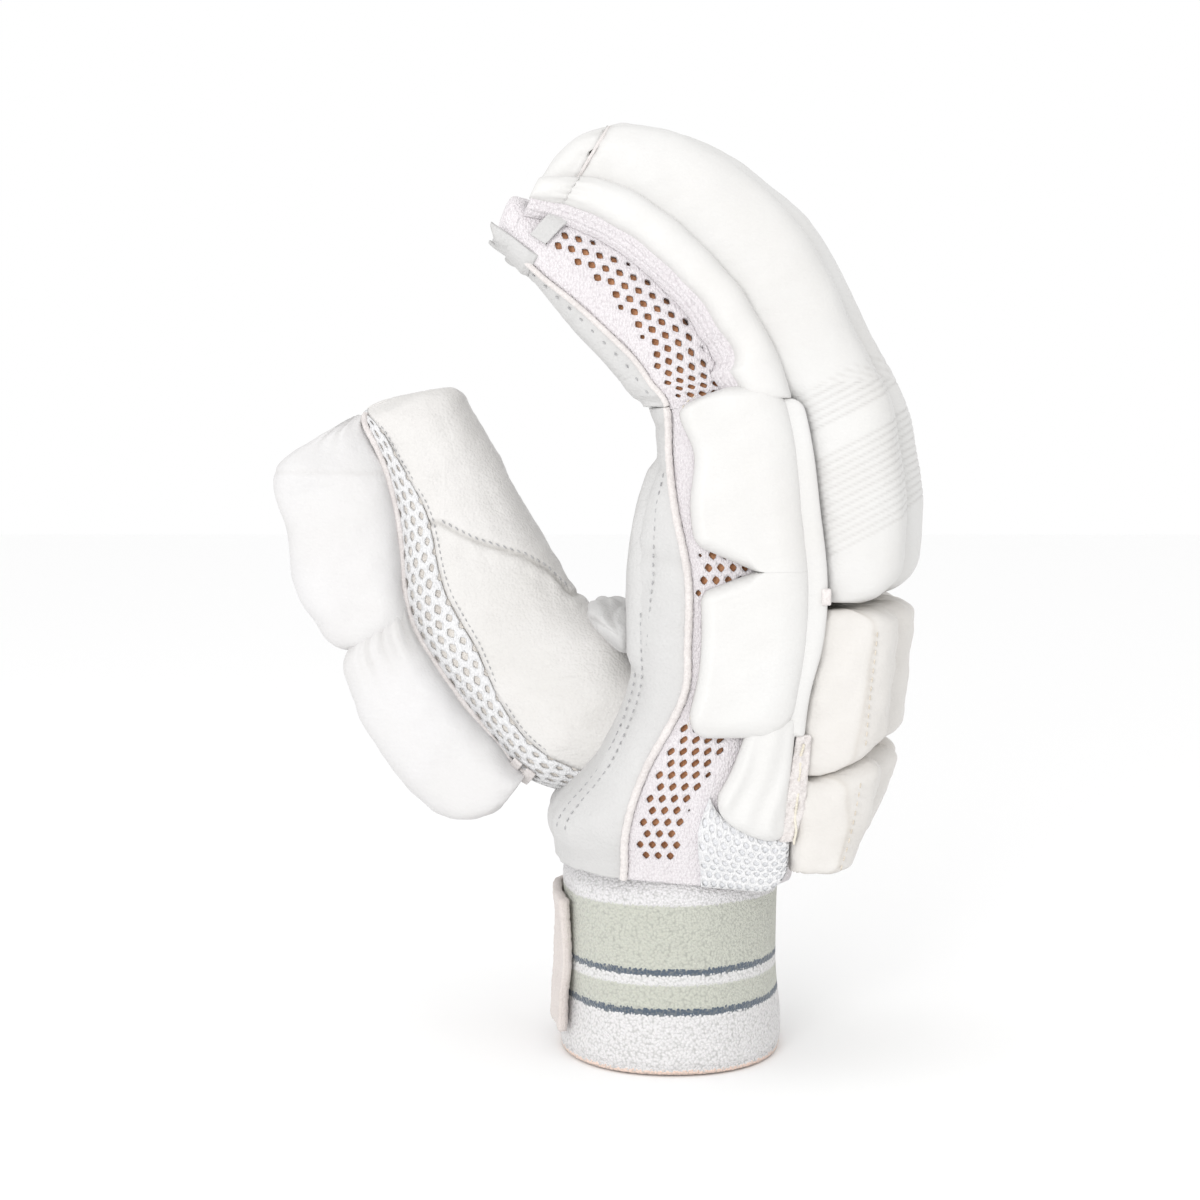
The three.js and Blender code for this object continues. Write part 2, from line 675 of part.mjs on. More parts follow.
// Knit ends of the fingers, with the palm leather's turned hems over them
const TIP_DOME = [
  { row: 14.04, scale: 0.94 },
  { row: 14.24, scale: 0.86 },
  { row: 14.38, scale: 0.55 },
];
const HEM_ROWS = [13.55, 14.3];
const HEM_LIFT = 2.2 * CLEARANCE;
const HEM_ANGLE = 0.95;
for (const finger of FINGERS) {
  const dome = loftShape(({ row, scale }, angle) => {
    const h = sectionAt(FINGER_END).wall / 2;
    const [c, n] = rounded(angle, FINGER_POWER);
    return bodyPoint(row, h * (1 - scale * c), finger.place * FINGER_PITCH + FINGER_HALF * scale * n);
  }, TIP_DOME, 12);
  addPiece(`tip_${finger.name}`, dome, 'knit');
  const hemAngles = () => [-HEM_ANGLE, HEM_ANGLE];
  const hem = fingerWall(finger, HEM_ROWS, hemAngles, [HEM_LIFT, HEM_LIFT + TAB_WALL], 2, 5);
  addPiece(`hem_${finger.name}`, hem, 'palmLeather');
}

// Padding: rolls and blocks sit on their base and are rounded over at both ends

function paddedPiece(place, rows, { power, across, points, sink }) {
  return loftShape(({ t, size }, angle) => {
    const s = sectionAt(t);
    const base = s.base - sink;
    const half = ((s.depth - base) / 2) * size;
    const [c, n] = rounded(angle, power);
    const width = across * lerp(0.55, 1, size);
    return bodyPoint(t, base + half - half * c, place * FINGER_PITCH + width * n);
  }, rows, points);
}

const ROLL_HALF = (FINGER_PITCH - CLEARANCE) / 2;

for (const finger of FINGERS) {
  const roll = paddedPiece(
    finger.place,
    padRows([ROLL_START, ROLL_END], 12, { start: 0.55, end: 0, least: 0.45 }),
    { power: ROLL_POWER, across: ROLL_HALF, points: 12, sink: 0 },
  );
  const cap = paddedPiece(
    finger.place,
    padRows([CAP_START, FINGER_END], 4, { start: 0.001, end: 0.5, least: 0.3 }),
    { power: ROLL_POWER, across: ROLL_HALF, points: 12, sink: 0 },
  );
  const first = finger === LITTLE;
  addPiece(`roll_${finger.name}`, first ? solidOf(roll).subtract(sideRollTrim) : roll, 'rollLeather');
  addPiece(`roll_cap_${finger.name}`, first ? solidOf(cap).subtract(sideRollTrim) : cap, 'rollLeather');
  const blockFinish = { power: BLOCK_POWER, across: ROLL_HALF, points: 12, sink: CLEARANCE };
  const blockEnds = { start: 0.28, end: 0.28, least: 0.72 };
  for (const [kind, rows] of [['knuckle', KNUCKLE_ROW], ['wrist', WRIST_ROW]]) {
    const block = paddedPiece(finger.place, padRows(rows, 5, blockEnds), blockFinish);
    addPiece(`${kind}_block_${finger.name}`, block, 'blockLeather');
  }
}
const sideRoll = sideRollShape([SIDE_ROLL_START, ROLL_END], { start: 0.5, end: 0, least: 0.5 }, 0);
addPiece('side_roll', sideRoll, 'rollLeather');
const sideCap = sideRollShape([CAP_START, FINGER_END], { start: 0.001, end: 0.4, least: 0.5 }, 0);
addPiece('side_roll_cap', sideCap, 'rollLeather');

// The side bar's two pads, with the notch between them

// A crowned pad over the side of the hand; low and high give its ends, left and right its depths
function sidePad({ low, high, left, right, thickness, crown, nu, nv, lift }) {
  return wallShape((u, v, side) => {
    const t = lerp(low(v), high(v), u);
    const s = sectionAt(t);
    const rim = (1 - Math.abs(2 * u - 1) ** crown) * (1 - Math.abs(2 * v - 1) ** crown);
    const rise = lift + CLEARANCE + side * thickness * lerp(0.35, 1, Math.sqrt(rim));
    return sidePoint(t, lerp(left(s, u), right(s, u), v), rise);
  }, nu, nv);
}

const PAD_NOTCH = { middle: 5.1, upper: 5.52, lower: 4.76, apex: 0.6 };
const PAD_ENDS = { top: 8.15, bottom: 2.58 };
const PAD_EDGE_INSET = 0.06;
const notchSide = (v, outer) => lerp(outer, PAD_NOTCH.middle, clamp(v / PAD_NOTCH.apex, 0, 1));
const padSides = {
  left: (s) => s.bar,
  right: (s) => s.edge - PAD_EDGE_INSET * s.depth,
  thickness: SIDE_PAD_THICKNESS,
  crown: 8,
  nu: 7,
  nv: 5,
  lift: 0,
};
const NOTCH_SEAM = 0.03;
addPiece(
  'side_pad_upper',
  sidePad({ ...padSides, low: (v) => notchSide(v, PAD_NOTCH.upper) + NOTCH_SEAM, high: () => PAD_ENDS.top }),
  'rollLeather',
);
addPiece(
  'side_pad_lower',
  sidePad({
    ...padSides,
    low: () => PAD_ENDS.bottom,
    high: (v) => notchSide(v, PAD_NOTCH.lower) - NOTCH_SEAM,
  }),
  'rollLeather',
);

// Soft leather between the lower pad and the wrist blocks, and the fabric strip beside it
addPiece(
  'side_leather',
  sidePad({
    low: (v) => lerp(1.12, 0.66, v),
    high: (v) => lerp(2.15, 2.5, v),
    left: (s, u) => s.depth * lerp(0.53, 0.47, u),
    right: (s) => s.edge - 0.055 * s.depth,
    thickness: SIDE_LEATHER_THICKNESS,
    crown: 4,
    nu: 5,
    nv: 5,
    lift: 0,
  }),
  'rollLeather',
);
addPiece(
  'seam_strip',
  sidePad({
    low: () => 0.75,
    high: () => 4.6,
    left: (s) => s.edge - 0.045 * s.depth,
    right: (s) => s.edge,
    thickness: STRIP_THICKNESS,
    crown: 6,
    nu: 9,
    nv: 2,
    lift: 0,
  }),
  'edging',
);
addPiece(
  'wrist_spacer',
  sidePad({
    low: () => 0.02,
    high: (v) => lerp(0.98, 0.5, v),
    left: (s, u) => s.depth * lerp(0.51, 0.535, u),
    right: (s) => s.edge + 0.01 * s.depth,
    thickness: SPACER_THICKNESS,
    crown: 4,
    nu: 4,
    nv: 6,
    lift: 0,
  }),
  'spacer',
);

// Knitted cuff, which tucks inside the wrist end of the hand
const wristRow = sectionAt(0);
const CUFF_HALF_DEPTH = (wristRow.wall * wristRow.direction.x) / 2 - LEATHER - KNIT;
const CUFF_MIDDLE = wristRow.palm.x + (wristRow.wall * wristRow.direction.x) / 2;
const CUFF_HALF_WIDTH = wristRow.half - KNIT - LINING - 2 * CLEARANCE;
const CUFF_TOP = wristRow.palm.y + CUFF_OVERLAP;

function cuffPoint(z, angle, offset) {
  const [c, n] = rounded(angle, CUFF_POWER);
  const waist = 0.97 + 0.03 * Math.cos((2 * Math.PI * z) / CUFF_TOP);
  return new THREE.Vector3(
    CUFF_MIDDLE - (CUFF_HALF_DEPTH * waist + offset) * c,
    (CUFF_HALF_WIDTH * waist + offset) * n,
    z,
  );
}
const cuffTube = tubeShape((u, angle, side) => cuffPoint(u * CUFF_TOP, angle, side ? 0 : -CUFF_WALL), 3, 20);
addPiece('cuff', cuffTube, 'towelling');

const STRAP_ANGLES = [-0.5, 1.5];
addPiece(
  'cuff_strap',
  wallShape((u, v, side) => {
    const z = STRAP_FROM_RIM + STRAP_WIDTH * u;
    return cuffPoint(z, lerp(...STRAP_ANGLES, v), 2 * CLEARANCE + side * STRAP_WALL);
  }, 2, 8),
  'hookTape',
);

// Thumb: leather on the inner side, knit round the back, and the two blocks of the guard

const thumbSeam = (t) => {
  const s = thumbSection(t);
  return angleAt(s.leather, (s.mesh - CLEARANCE) / 2, FINGER_POWER);
};
const THUMB_END = 8;

function thumbWall(angles, [inner, outer], nu, nv) {
  const wall = wallShape((u, v, side) => {
    const t = lerp(0.3, THUMB_END, u);
    const [from, to] = angles(t);
    return thumbPoint(t, lerp(from, to, v), side ? outer : inner);
  }, nu, nv);
  return solidOf(wall).subtract(handVolume(2.5 * CLEARANCE));
}

const thumbLeather = thumbWall((t) => [-thumbSeam(t), thumbSeam(t)], [-LEATHER, 0], 9, 10);
addPiece('thumb_leather', thumbLeather, 'thumbLeather');
addPiece(
  'thumb_mesh',
  thumbWall((t) => [thumbSeam(t) + 0.02, 2 * Math.PI - thumbSeam(t) - 0.02], [-KNIT, 0], 9, 8),
  'knit',
);

const thumbRootTrim = handVolume(2.5 * CLEARANCE);

function thumbBlock([t0, t1], ends) {
  return loftShape(({ t, size }, angle) => {
    const s = thumbSection(t);
    const half = ((s.width - s.mesh) / 2) * size;
    const [c, n] = rounded(angle, BLOCK_POWER);
    const breadth = Math.max(s.half, 0.62 * FINGER_PITCH) * 1.05 * lerp(0.6, 1, size);
    return thumbSpot(t, s.mesh + half - half * c, breadth * n);
  }, padRows([t0, t1], 8, ends), 14);
}
const guardRows = { lower: [1.75, GUARD_SPLIT - 0.03], upper: [GUARD_SPLIT + 0.03, 7.55] };
addPiece(
  'thumb_guard_lower',
  solidOf(thumbBlock(guardRows.lower, { start: 0.6, end: 0.3, least: 0.6 })).subtract(thumbRootTrim),
  'blockLeather',
);
const upperGuard = thumbBlock(guardRows.upper, { start: 0.4, end: 0.4, least: 0.7 });
addPiece('thumb_guard_upper', upperGuard, 'blockLeather');

// Small tabs: one at the lower end of the big roll, two laid on the mesh at the root of the thumb's guard
const SEAM_TAB = { start: 4.61, end: 4.82 };
addPiece(
  'seam_tab',
  sidePad({
    low: () => SEAM_TAB.start,
    high: () => SEAM_TAB.end,
    left: (s) => s.edge + 0.01 * s.depth,
    right: (s) => s.edge + 0.07 * s.depth,
    thickness: TAB_WALL,
    crown: 6,
    nu: 2,
    nv: 2,
    lift: 0,
  }),
  'edging',
);
const THUMB_TABS = [
  { name: 'thumb_tab_lower', from: 1.02, to: 1.2 },
  { name: 'thumb_tab_upper', from: 1.3, to: 1.48 },
];
const THUMB_TAB_REACH = [0.7, 0.97];
for (const tab of THUMB_TABS) {
  const shape = wallShape((u, v, side) => {
    const t = lerp(tab.from, tab.to, u);
    const s = thumbSection(t);
    const angle = -angleAt(s.mesh * lerp(...THUMB_TAB_REACH, v), (s.mesh - CLEARANCE) / 2, FINGER_POWER);
    return thumbPoint(t, angle, 1.5 * CLEARANCE + side * TAB_WALL);
  }, 1, 6);
  addPiece(tab.name, solidOf(shape).subtract(thumbRootTrim), 'edging');
}

export default glove;
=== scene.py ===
"""Cricket batting glove, left hand, in its worn form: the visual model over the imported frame.

Shapes are worked out in millimetres and written to the meshes in metres.
+Z runs up to the fingers, -X is the palm side and -Y the little finger's side.
"""
import logging
from dataclasses import dataclass
from enum import Enum
from typing import Callable, NamedTuple

import bpy
import numpy as np
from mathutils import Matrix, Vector


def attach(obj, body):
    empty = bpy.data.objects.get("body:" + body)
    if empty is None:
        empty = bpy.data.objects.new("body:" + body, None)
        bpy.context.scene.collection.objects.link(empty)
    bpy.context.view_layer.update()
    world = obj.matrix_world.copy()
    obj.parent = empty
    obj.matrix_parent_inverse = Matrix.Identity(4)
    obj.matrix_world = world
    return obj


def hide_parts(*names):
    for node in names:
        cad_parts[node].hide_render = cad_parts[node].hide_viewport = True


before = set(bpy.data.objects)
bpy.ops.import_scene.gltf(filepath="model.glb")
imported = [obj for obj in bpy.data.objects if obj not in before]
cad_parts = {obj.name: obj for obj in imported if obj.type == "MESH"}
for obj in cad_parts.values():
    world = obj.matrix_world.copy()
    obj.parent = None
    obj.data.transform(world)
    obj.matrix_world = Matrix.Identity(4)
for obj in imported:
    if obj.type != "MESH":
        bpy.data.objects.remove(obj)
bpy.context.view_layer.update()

Array = np.ndarray
log = logging.getLogger("glove")

MM = 0.001

# Driving sizes, as in the part's source
GLOVE_HEIGHT = 254.0
HAND_DEPTH = 73.0
FINGER_PITCH = 22.0
KNUCKLE_ARCH = 11.0

# Walls and small sizes
LEATHER = 1.6
KNIT = 1.4
LINING = 1.0
CLEARANCE = 0.35
FINGER_GAP = 2.2
FINGER_HALF = (FINGER_PITCH - FINGER_GAP) / 2
ROLL_HALF = (FINGER_PITCH - CLEARANCE) / 2
SIDE_ROLL_BULGE = 6.5
SIDE_PAD_THICKNESS = 6.5
CUFF_WALL = 2.6

# How square each section is: 2 is an ellipse, more is squarer
HAND_POWER = 3.0
FINGER_POWER = 2.5
ROLL_POWER = 2.7
BLOCK_POWER = 4.0
CUFF_POWER = 2.15

# Where pieces start and stop, counted in rows of the sections
HAND_END = 8.0
FINGER_START = 8.06
FINGER_END = 14.0
CAP_START = 13.34
ROLL_START = 4.6
ROLL_END = 13.3
SIDE_ROLL_START = 8.4

WRIST_HEM = -0.42

# Share of the hand's wall where the palm's leather meets the mesh on the thumb's side
RADIAL_SEAM = 0.62

# Least share of a section's depth that lies before the side roll
LEAST_BAR = 0.42

# A wall's cells are dropped inside the thumb's or the hand's own wall, below these shares of it
CLEAR_OF_THUMB = 0.72
CLEAR_OF_HAND = 0.8

# Share that stands for a point past the end of a table
FAR_OUT = 9.0

FINGERS = {"little": -1.5, "ring": -0.5, "middle": 0.5, "index": 1.5}

# Sections of the hand and the little finger, wrist first: shares of the driving sizes and of each depth
SECTIONS = dict(zip(
    ("palm_x", "palm_z", "back_x", "back_z",
     "seam", "bar", "edge", "base", "side", "arch_back", "arch_palm"),
    np.array([
        (-0.454, 0.232, 0.636, 0.214, 0.246, 0.3, 0.8, 0.83, 0.9, 0.35, 0),
        (-0.472, 0.268, 0.706, 0.268, 0.249, 0.3, 0.76, 0.78, 0.95, 0.7, 0),
        (-0.315, 0.33, 0.756, 0.333, 0.194, 0.27, 0.705, 0.72, 0.98, 0.95, 0.2),
        (-0.208, 0.406, 0.781, 0.409, 0.236, 0.27, 0.68, 0.69, 1, 1, 0.4),
        (-0.199, 0.46, 0.8, 0.464, 0.24, 0.285, 0.695, 0.7, 1, 1, 0.45),
        (-0.202, 0.529, 0.819, 0.532, 0.238, 0.275, 0.69, 0.695, 1, 1, 0.45),
        (-0.164, 0.601, 0.832, 0.601, 0.16, 0.21, 0.643, 0.65, 1, 1, 0.45),
        (-0.105, 0.656, 0.804, 0.659, 0.09, 0.18, 0.616, 0.62, 1, 1, 0.45),
        (-0.139, 0.706, 0.769, 0.714, 0.115, 0.165, 0.611, 0.6, 1, 0.95, 0.45),
        (-0.189, 0.726, 0.649, 0.781, 0.11, 0.457, 0.65, 0.465, 1, 0.85, 0.45),
        (-0.221, 0.737, 0.536, 0.851, 0.11, 0.46, 0.64, 0.468, 1, 0.75, 0.45),
        (-0.267, 0.752, 0.41, 0.906, 0.105, 0.462, 0.63, 0.47, 1, 0.65, 0.42),
        (-0.403, 0.798, 0.151, 0.969, 0.08, 0.45, 0.635, 0.46, 1, 0.5, 0.35),
        (-0.509, 0.833, -0.139, 0.998, 0.055, 0.435, 0.645, 0.45, 1, 0.4, 0.3),
        (-0.618, 0.869, -0.41, 0.985, 0.05, 0.42, 0.62, 0.44, 1, 0.3, 0.25),
    ]).T,
))

# Sections of the thumb, root first
THUMB_SECTIONS = dict(zip(
    ("edge_x", "edge_z", "guard_x", "guard_z", "leather", "mesh", "middle", "half"),
    np.array([
        (-0.06, 0.395, -0.4, 0.215, 0.55, 0.72, 0.58, 0.95),
        (-0.2, 0.431, -0.68, 0.235, 0.56, 0.74, 0.67, 0.97),
        (-0.302, 0.471, -0.958, 0.257, 0.5, 0.65, 0.83, 0.9),
        (-0.416, 0.518, -1.197, 0.34, 0.44, 0.65, 0.96, 0.82),
        (-0.529, 0.572, -1.317, 0.42, 0.45, 0.67, 1.08, 0.75),
        (-0.655, 0.637, -1.487, 0.5, 0.36, 0.53, 1.17, 0.7),
        (-0.78, 0.7, -1.525, 0.569, 0.39, 0.5, 1.21, 0.64),
        (-0.87, 0.73, -1.563, 0.637, 0.42, 0.52, 1.21, 0.5),
        (-1.1, 0.72, -1.3, 0.694, 0.5, 0.6, 1.21, 0.14),
    ]).T,
))


def lerp(a: Array | float, b: Array | float, f: Array | float) -> Array | float:
    """The value a share f of the way from a to b."""
    return a + (b - a) * f


def ease(low: float, high: float, x: Array) -> Array:
    """0 below low, 1 above high, and an S-curve between them."""
    f = np.clip((x - low) / (high - low), 0, 1)
    return f * f * (3 - 2 * f)


def window(low: float, high: float, soft: float, x: Array) -> Array:
    """1 between low and high, falling smoothly to 0 over soft on both sides."""
    return ease(low - soft, low, x) * (1 - ease(high, high + soft, x))


def bell(distance: Array, width: float) -> Array:
    """1 on a line and near 0 at twice the width from it: exp of minus the squared ratio."""
    return np.exp(-((distance / width) ** 2))


def unit(vectors: Array) -> Array:
    """Vectors of length 1, along the last axis."""
    return vectors / np.maximum(np.linalg.norm(vectors, axis=-1, keepdims=True), 1e-9)


def crumple(points: Array, size: float, seed: int, waves: int = 9) -> Array:
    """Soft random relief from about -1 to 1: the mean of sine waves in random directions.

    Args:
        points: places in millimetres, last axis 3.
        size: rough length of the waves in millimetres.
        seed: seed of the directions, lengths and phases.
        waves: how many waves are added.

    Returns:
        One height for each point.
    """
    rng = np.random.default_rng(seed)
    directions = unit(rng.normal(size=(waves, 3)))
    lengths = size * rng.uniform(0.6, 1.6, waves)
    phases = rng.uniform(0, 2 * np.pi, waves)
    return np.sin(points @ (directions.T * 2 * np.pi / lengths) + phases).sum(axis=-1) / np.sqrt(waves)


def along(table: dict[str, Array], column: str, t: Array) -> Array:
    """Smooth curve through the rows of a table's column, straight past its ends.

    Args:
        table: columns by name.
        column: the column's name.
        t: row numbers, with fractions.

    Returns:
        The column's value at each t: a cubic with the neighbours' mean slope at each row.
    """
    values = table[column]
    last = len(values) - 1
    t = np.asarray(t, float)
    row = np.clip(np.floor(t), 0, last - 1).astype(int)
    f = t - row
    a, b, c, d = (values[np.clip(row + k, 0, last)] for k in (-1, 0, 1, 2))
    slopes = 0.5 * (c - a) * (f**3 - 2 * f**2 + f) + 0.5 * (d - b) * (f**3 - f**2)
    curve = b * (2 * f**3 - 3 * f**2 + 1) + c * (3 * f**2 - 2 * f**3) + slopes
    return np.where((f < 0) | (f > 1), b + (c - b) * f, curve)


def superellipse(angle: Array, power: float) -> tuple[Array, Array]:
    """Cosine and sine, each raised to 2/power with its sign kept."""
    c, s = np.cos(angle), np.sin(angle)
    return np.sign(c) * np.abs(c) ** (2 / power), np.sign(s) * np.abs(s) ** (2 / power)


def angle_at(depth: Array, half: Array, power: float) -> Array:
    """Angle at which a rounded section of that half depth is depth away from its palm side."""
    share = np.clip((half - depth) / half, -1, 1)
    return np.arccos(np.sign(share) * np.abs(share) ** (power / 2))


def turns(count: int) -> Array:
    """Even angles right round a ring, as one row."""
    return np.linspace(0, 2 * np.pi, count, endpoint=False)[None]


def on_wall(point: Callable, t: Array, angle: Array, offset: float, beyond: float) -> tuple[Array, Array]:
    """A line on a wall, with its outward directions.

    Args:
        point: the wall's points from section, angle and offset.
        t: rows of the line's points.
        angle: angles of the line's points.
        offset: millimetres from the wall to the line.
        beyond: a larger offset, which tells the outward direction.

    Returns:
        The points and their directions.
    """
    path = point(t, angle, offset)
    return path, unit(point(t, angle, beyond) - path)


def nearest_section(base: Array, run: Array, spots: Array) -> tuple[Array, Array]:
    """The section whose line passes nearest to each point seen from the side.

    Args:
        base: where each section starts, as X and Z.
        run: each section's direction.
        spots: the points' X and Z, last axis 2.

    Returns:
        Each point's section number and how far along the section it lies.
    """
    gap = spots[..., None, :] - base
    miss = np.abs(gap[..., 0] * run[:, 1] - gap[..., 1] * run[:, 0])
    pick = miss.argmin(-1)
    return pick, np.take_along_axis((gap * run).sum(-1), pick[..., None], -1)[..., 0]


class Ring:
    """A superellipse measured by its own length, so that steps along it can be even."""

    def __init__(self, power: float, height: float, width: float) -> None:
        """Adds up the lengths of short chords round the curve.

        Args:
            power: the superellipse's power.
            height: half size where the cosine points.
            width: half size where the sine points.
        """
        self.angles = np.linspace(-2 * np.pi, 2 * np.pi, 16001)
        c, n = superellipse(self.angles, power)
        chords = np.hypot(np.diff(c * height), np.diff(n * width))
        self.lengths = np.concatenate([[0], np.cumsum(chords)])
        self.lengths -= np.interp(0, self.angles, self.lengths)

    def between(self, start: Array, end: Array, share: Array) -> Array:
        """Angle a share of the way from start to end, by length.

        Args:
            start: angle at share 0.
            end: angle at share 1.
            share: share of the way, from 0 to 1.

        Returns:
            The angle at each share.
        """
        from_start = np.interp(start, self.angles, self.lengths)
        to_end = np.interp(end, self.angles, self.lengths)
        return np.interp(lerp(from_start, to_end, share), self.lengths, self.angles)

    def round(self, count: int) -> Array:
        """Angles right round the curve at even distances, as one row."""
        return self.between(0.0, 2 * np.pi, np.linspace(0, 1, count, endpoint=False))[None]


HAND_RING = Ring(HAND_POWER, 25, 44)
FINGER_RING = Ring(FINGER_POWER, 14, FINGER_HALF)
ROLL_RING = Ring(ROLL_POWER, 13, ROLL_HALF)
BLOCK_RING = Ring(BLOCK_POWER, 11, ROLL_HALF)
GUARD_RING = Ring(BLOCK_POWER, 14, 15)
THUMB_RING = Ring(FINGER_POWER, 17, 16)
CUFF_RING = Ring(CUFF_POWER, 30, 36)


class Section(NamedTuple):
    """One section of the hand, or many at once, in millimetres."""

    palm: Array
    run: Array
    depth: Array
    seam: Array
    bar: Array
    edge: Array
    base: Array
    wall: Array
    half: Array
    arch_back: Array
    arch_palm: Array


class Hand:
    """The space of the hand and fingers: a section, a depth from its palm line and a place across."""

    @staticmethod
    def section(t: Array) -> Section:
        """The section at row t, its lengths worked out from its shares of the driving sizes.

        Args:
            t: rows of the sections.

        Returns:
            The sections, in millimetres.
        """
        value = {name: along(SECTIONS, name, t) for name in SECTIONS}
        palm = np.stack([value["palm_x"] * HAND_DEPTH, value["palm_z"] * GLOVE_HEIGHT], -1)
        back = np.stack([value["back_x"] * HAND_DEPTH, value["back_z"] * GLOVE_HEIGHT], -1)
        depth = np.linalg.norm(back - palm, axis=-1)
        seam, bar, edge, base = (value[name] * depth for name in ("seam", "bar", "edge", "base"))
        return Section(
            palm, unit(back - palm), depth, seam, bar, edge, base, base - 2 * CLEARANCE,
            value["side"] * 2 * FINGER_PITCH, value["arch_back"], value["arch_palm"],
        )

    @staticmethod
    def arch(y: Array) -> Array:
        """Height of the knuckles' arch across the hand: a parabola with its top by the middle finger."""
        place = np.clip(y / FINGER_PITCH, -1.5, 2.0)
        return KNUCKLE_ARCH * (1 - ((place - 0.58) / 2.08) ** 2)

    @classmethod
    def body(cls, t: Array, depth: Array, y: Array) -> Array:
        """A point from its section, depth and place across.

        It is the palm's point plus the arched depth along the section.

        Args:
            t: rows of the sections.
            depth: millimetres from the palm line.
            y: millimetres across the hand.

        Returns:
            The points, in millimetres.
        """
        s = cls.section(t)
        arch = cls.arch(y)
        stretch = 1 + arch * (s.arch_back - s.arch_palm) / s.depth
        reach = arch * s.arch_palm + depth * stretch
        reach, y, x0, z0, dx, dz = np.broadcast_arrays(
            reach, y, s.palm[..., 0], s.palm[..., 1], s.run[..., 0], s.run[..., 1]
        )
        return np.stack([x0 + dx * reach, y, z0 + dz * reach], -1)

    @classmethod
    def palm(cls, t: Array, angle: Array, offset: Array) -> Array:
        """A point of the hand's wall: a superellipse from the palm line to the padding's base.

        Args:
            t: rows of the sections.
            angle: angles round the section.
            offset: millimetres out of the wall.

        Returns:
            The points, in millimetres.
        """
        s = cls.section(t)
        c, n = superellipse(angle, HAND_POWER)
        return cls.body(t, s.wall / 2 - (s.wall / 2 + offset) * c, (s.half + offset) * n)

    @classmethod
    def finger(cls, place: float) -> Callable[[Array, Array, Array], Array]:
        """The wall of the finger at that place, as a function of section, angle and offset.

        Args:
            place: the finger's place across the hand, in pitches.

        Returns:
            The wall's points as a function of section, angle and offset.
        """

        def point(t: Array, angle: Array, offset: Array) -> Array:
            """A point of the finger's wall, its section a superellipse.

            Args:
                t: rows of the sections.
                angle: angles round the section.
                offset: millimetres out of the wall.

            Returns:
                The points, in millimetres.
            """
            half = cls.section(t).wall / 2
            c, n = superellipse(angle, FINGER_POWER)
            return cls.body(t, half - (half + offset) * c, place * FINGER_PITCH + (FINGER_HALF + offset) * n)

        return point

    @classmethod
    def side(cls, t: Array, depth: Array, offset: Array) -> Array:
        """A point over the little finger's flat side of the hand."""
        return cls.body(t, depth, -(cls.section(t).half + offset))

    @classmethod
    def seam_angle(cls, t: Array, power: float = HAND_POWER) -> Array:
        """Angle of the palm leather's seam."""
        s = cls.section(t)
        return angle_at(s.seam, s.wall / 2, power)

    @classmethod
    def share(cls, points: Array) -> Array:
        """How far out of the hand's wall points are: below 1 inside it and above 1 outside.

        Each point's section is the one whose line passes nearest to it.

        Args:
            points: places in millimetres, last axis 3.

        Returns:
            One share for each point.
        """
        rows = np.linspace(-0.5, HAND_END, 180)
        s = cls.section(rows)
        pick, reach = nearest_section(s.palm, s.run, points[..., [0, 2]])
        arch = cls.arch(points[..., 1])
        stretch = 1 + arch * (s.arch_back[pick] - s.arch_palm[pick]) / s.depth[pick]
        depth = (reach - arch * s.arch_palm[pick]) / stretch
        half = s.wall[pick] / 2
        share = np.abs((half - depth) / half) ** HAND_POWER
        share = share + np.abs(points[..., 1] / s.half[pick]) ** HAND_POWER
        return np.where(pick == len(rows) - 1, FAR_OUT, share)

    @classmethod
    def locate(cls, x: Array, z: Array) -> tuple[Array, Array]:
        """Row and depth of points on the little finger's side, where the arch is nil, from their X and Z.

        Args:
            x: X in millimetres.
            z: Z in millimetres.

        Returns:
            Each point's row and depth.
        """
        rows = np.linspace(-0.5, FINGER_END, 1500)
        s = cls.section(rows)
        pick, reach = nearest_section(s.palm, s.run, np.stack([x, z], -1))
        return rows[pick], reach


class ThumbSection(NamedTuple):
    """One section of the thumb, or many at once, in millimetres."""

    edge: Array
    run: Array
    width: Array
    leather: Array
    mesh: Array
    middle: Array
    half: Array


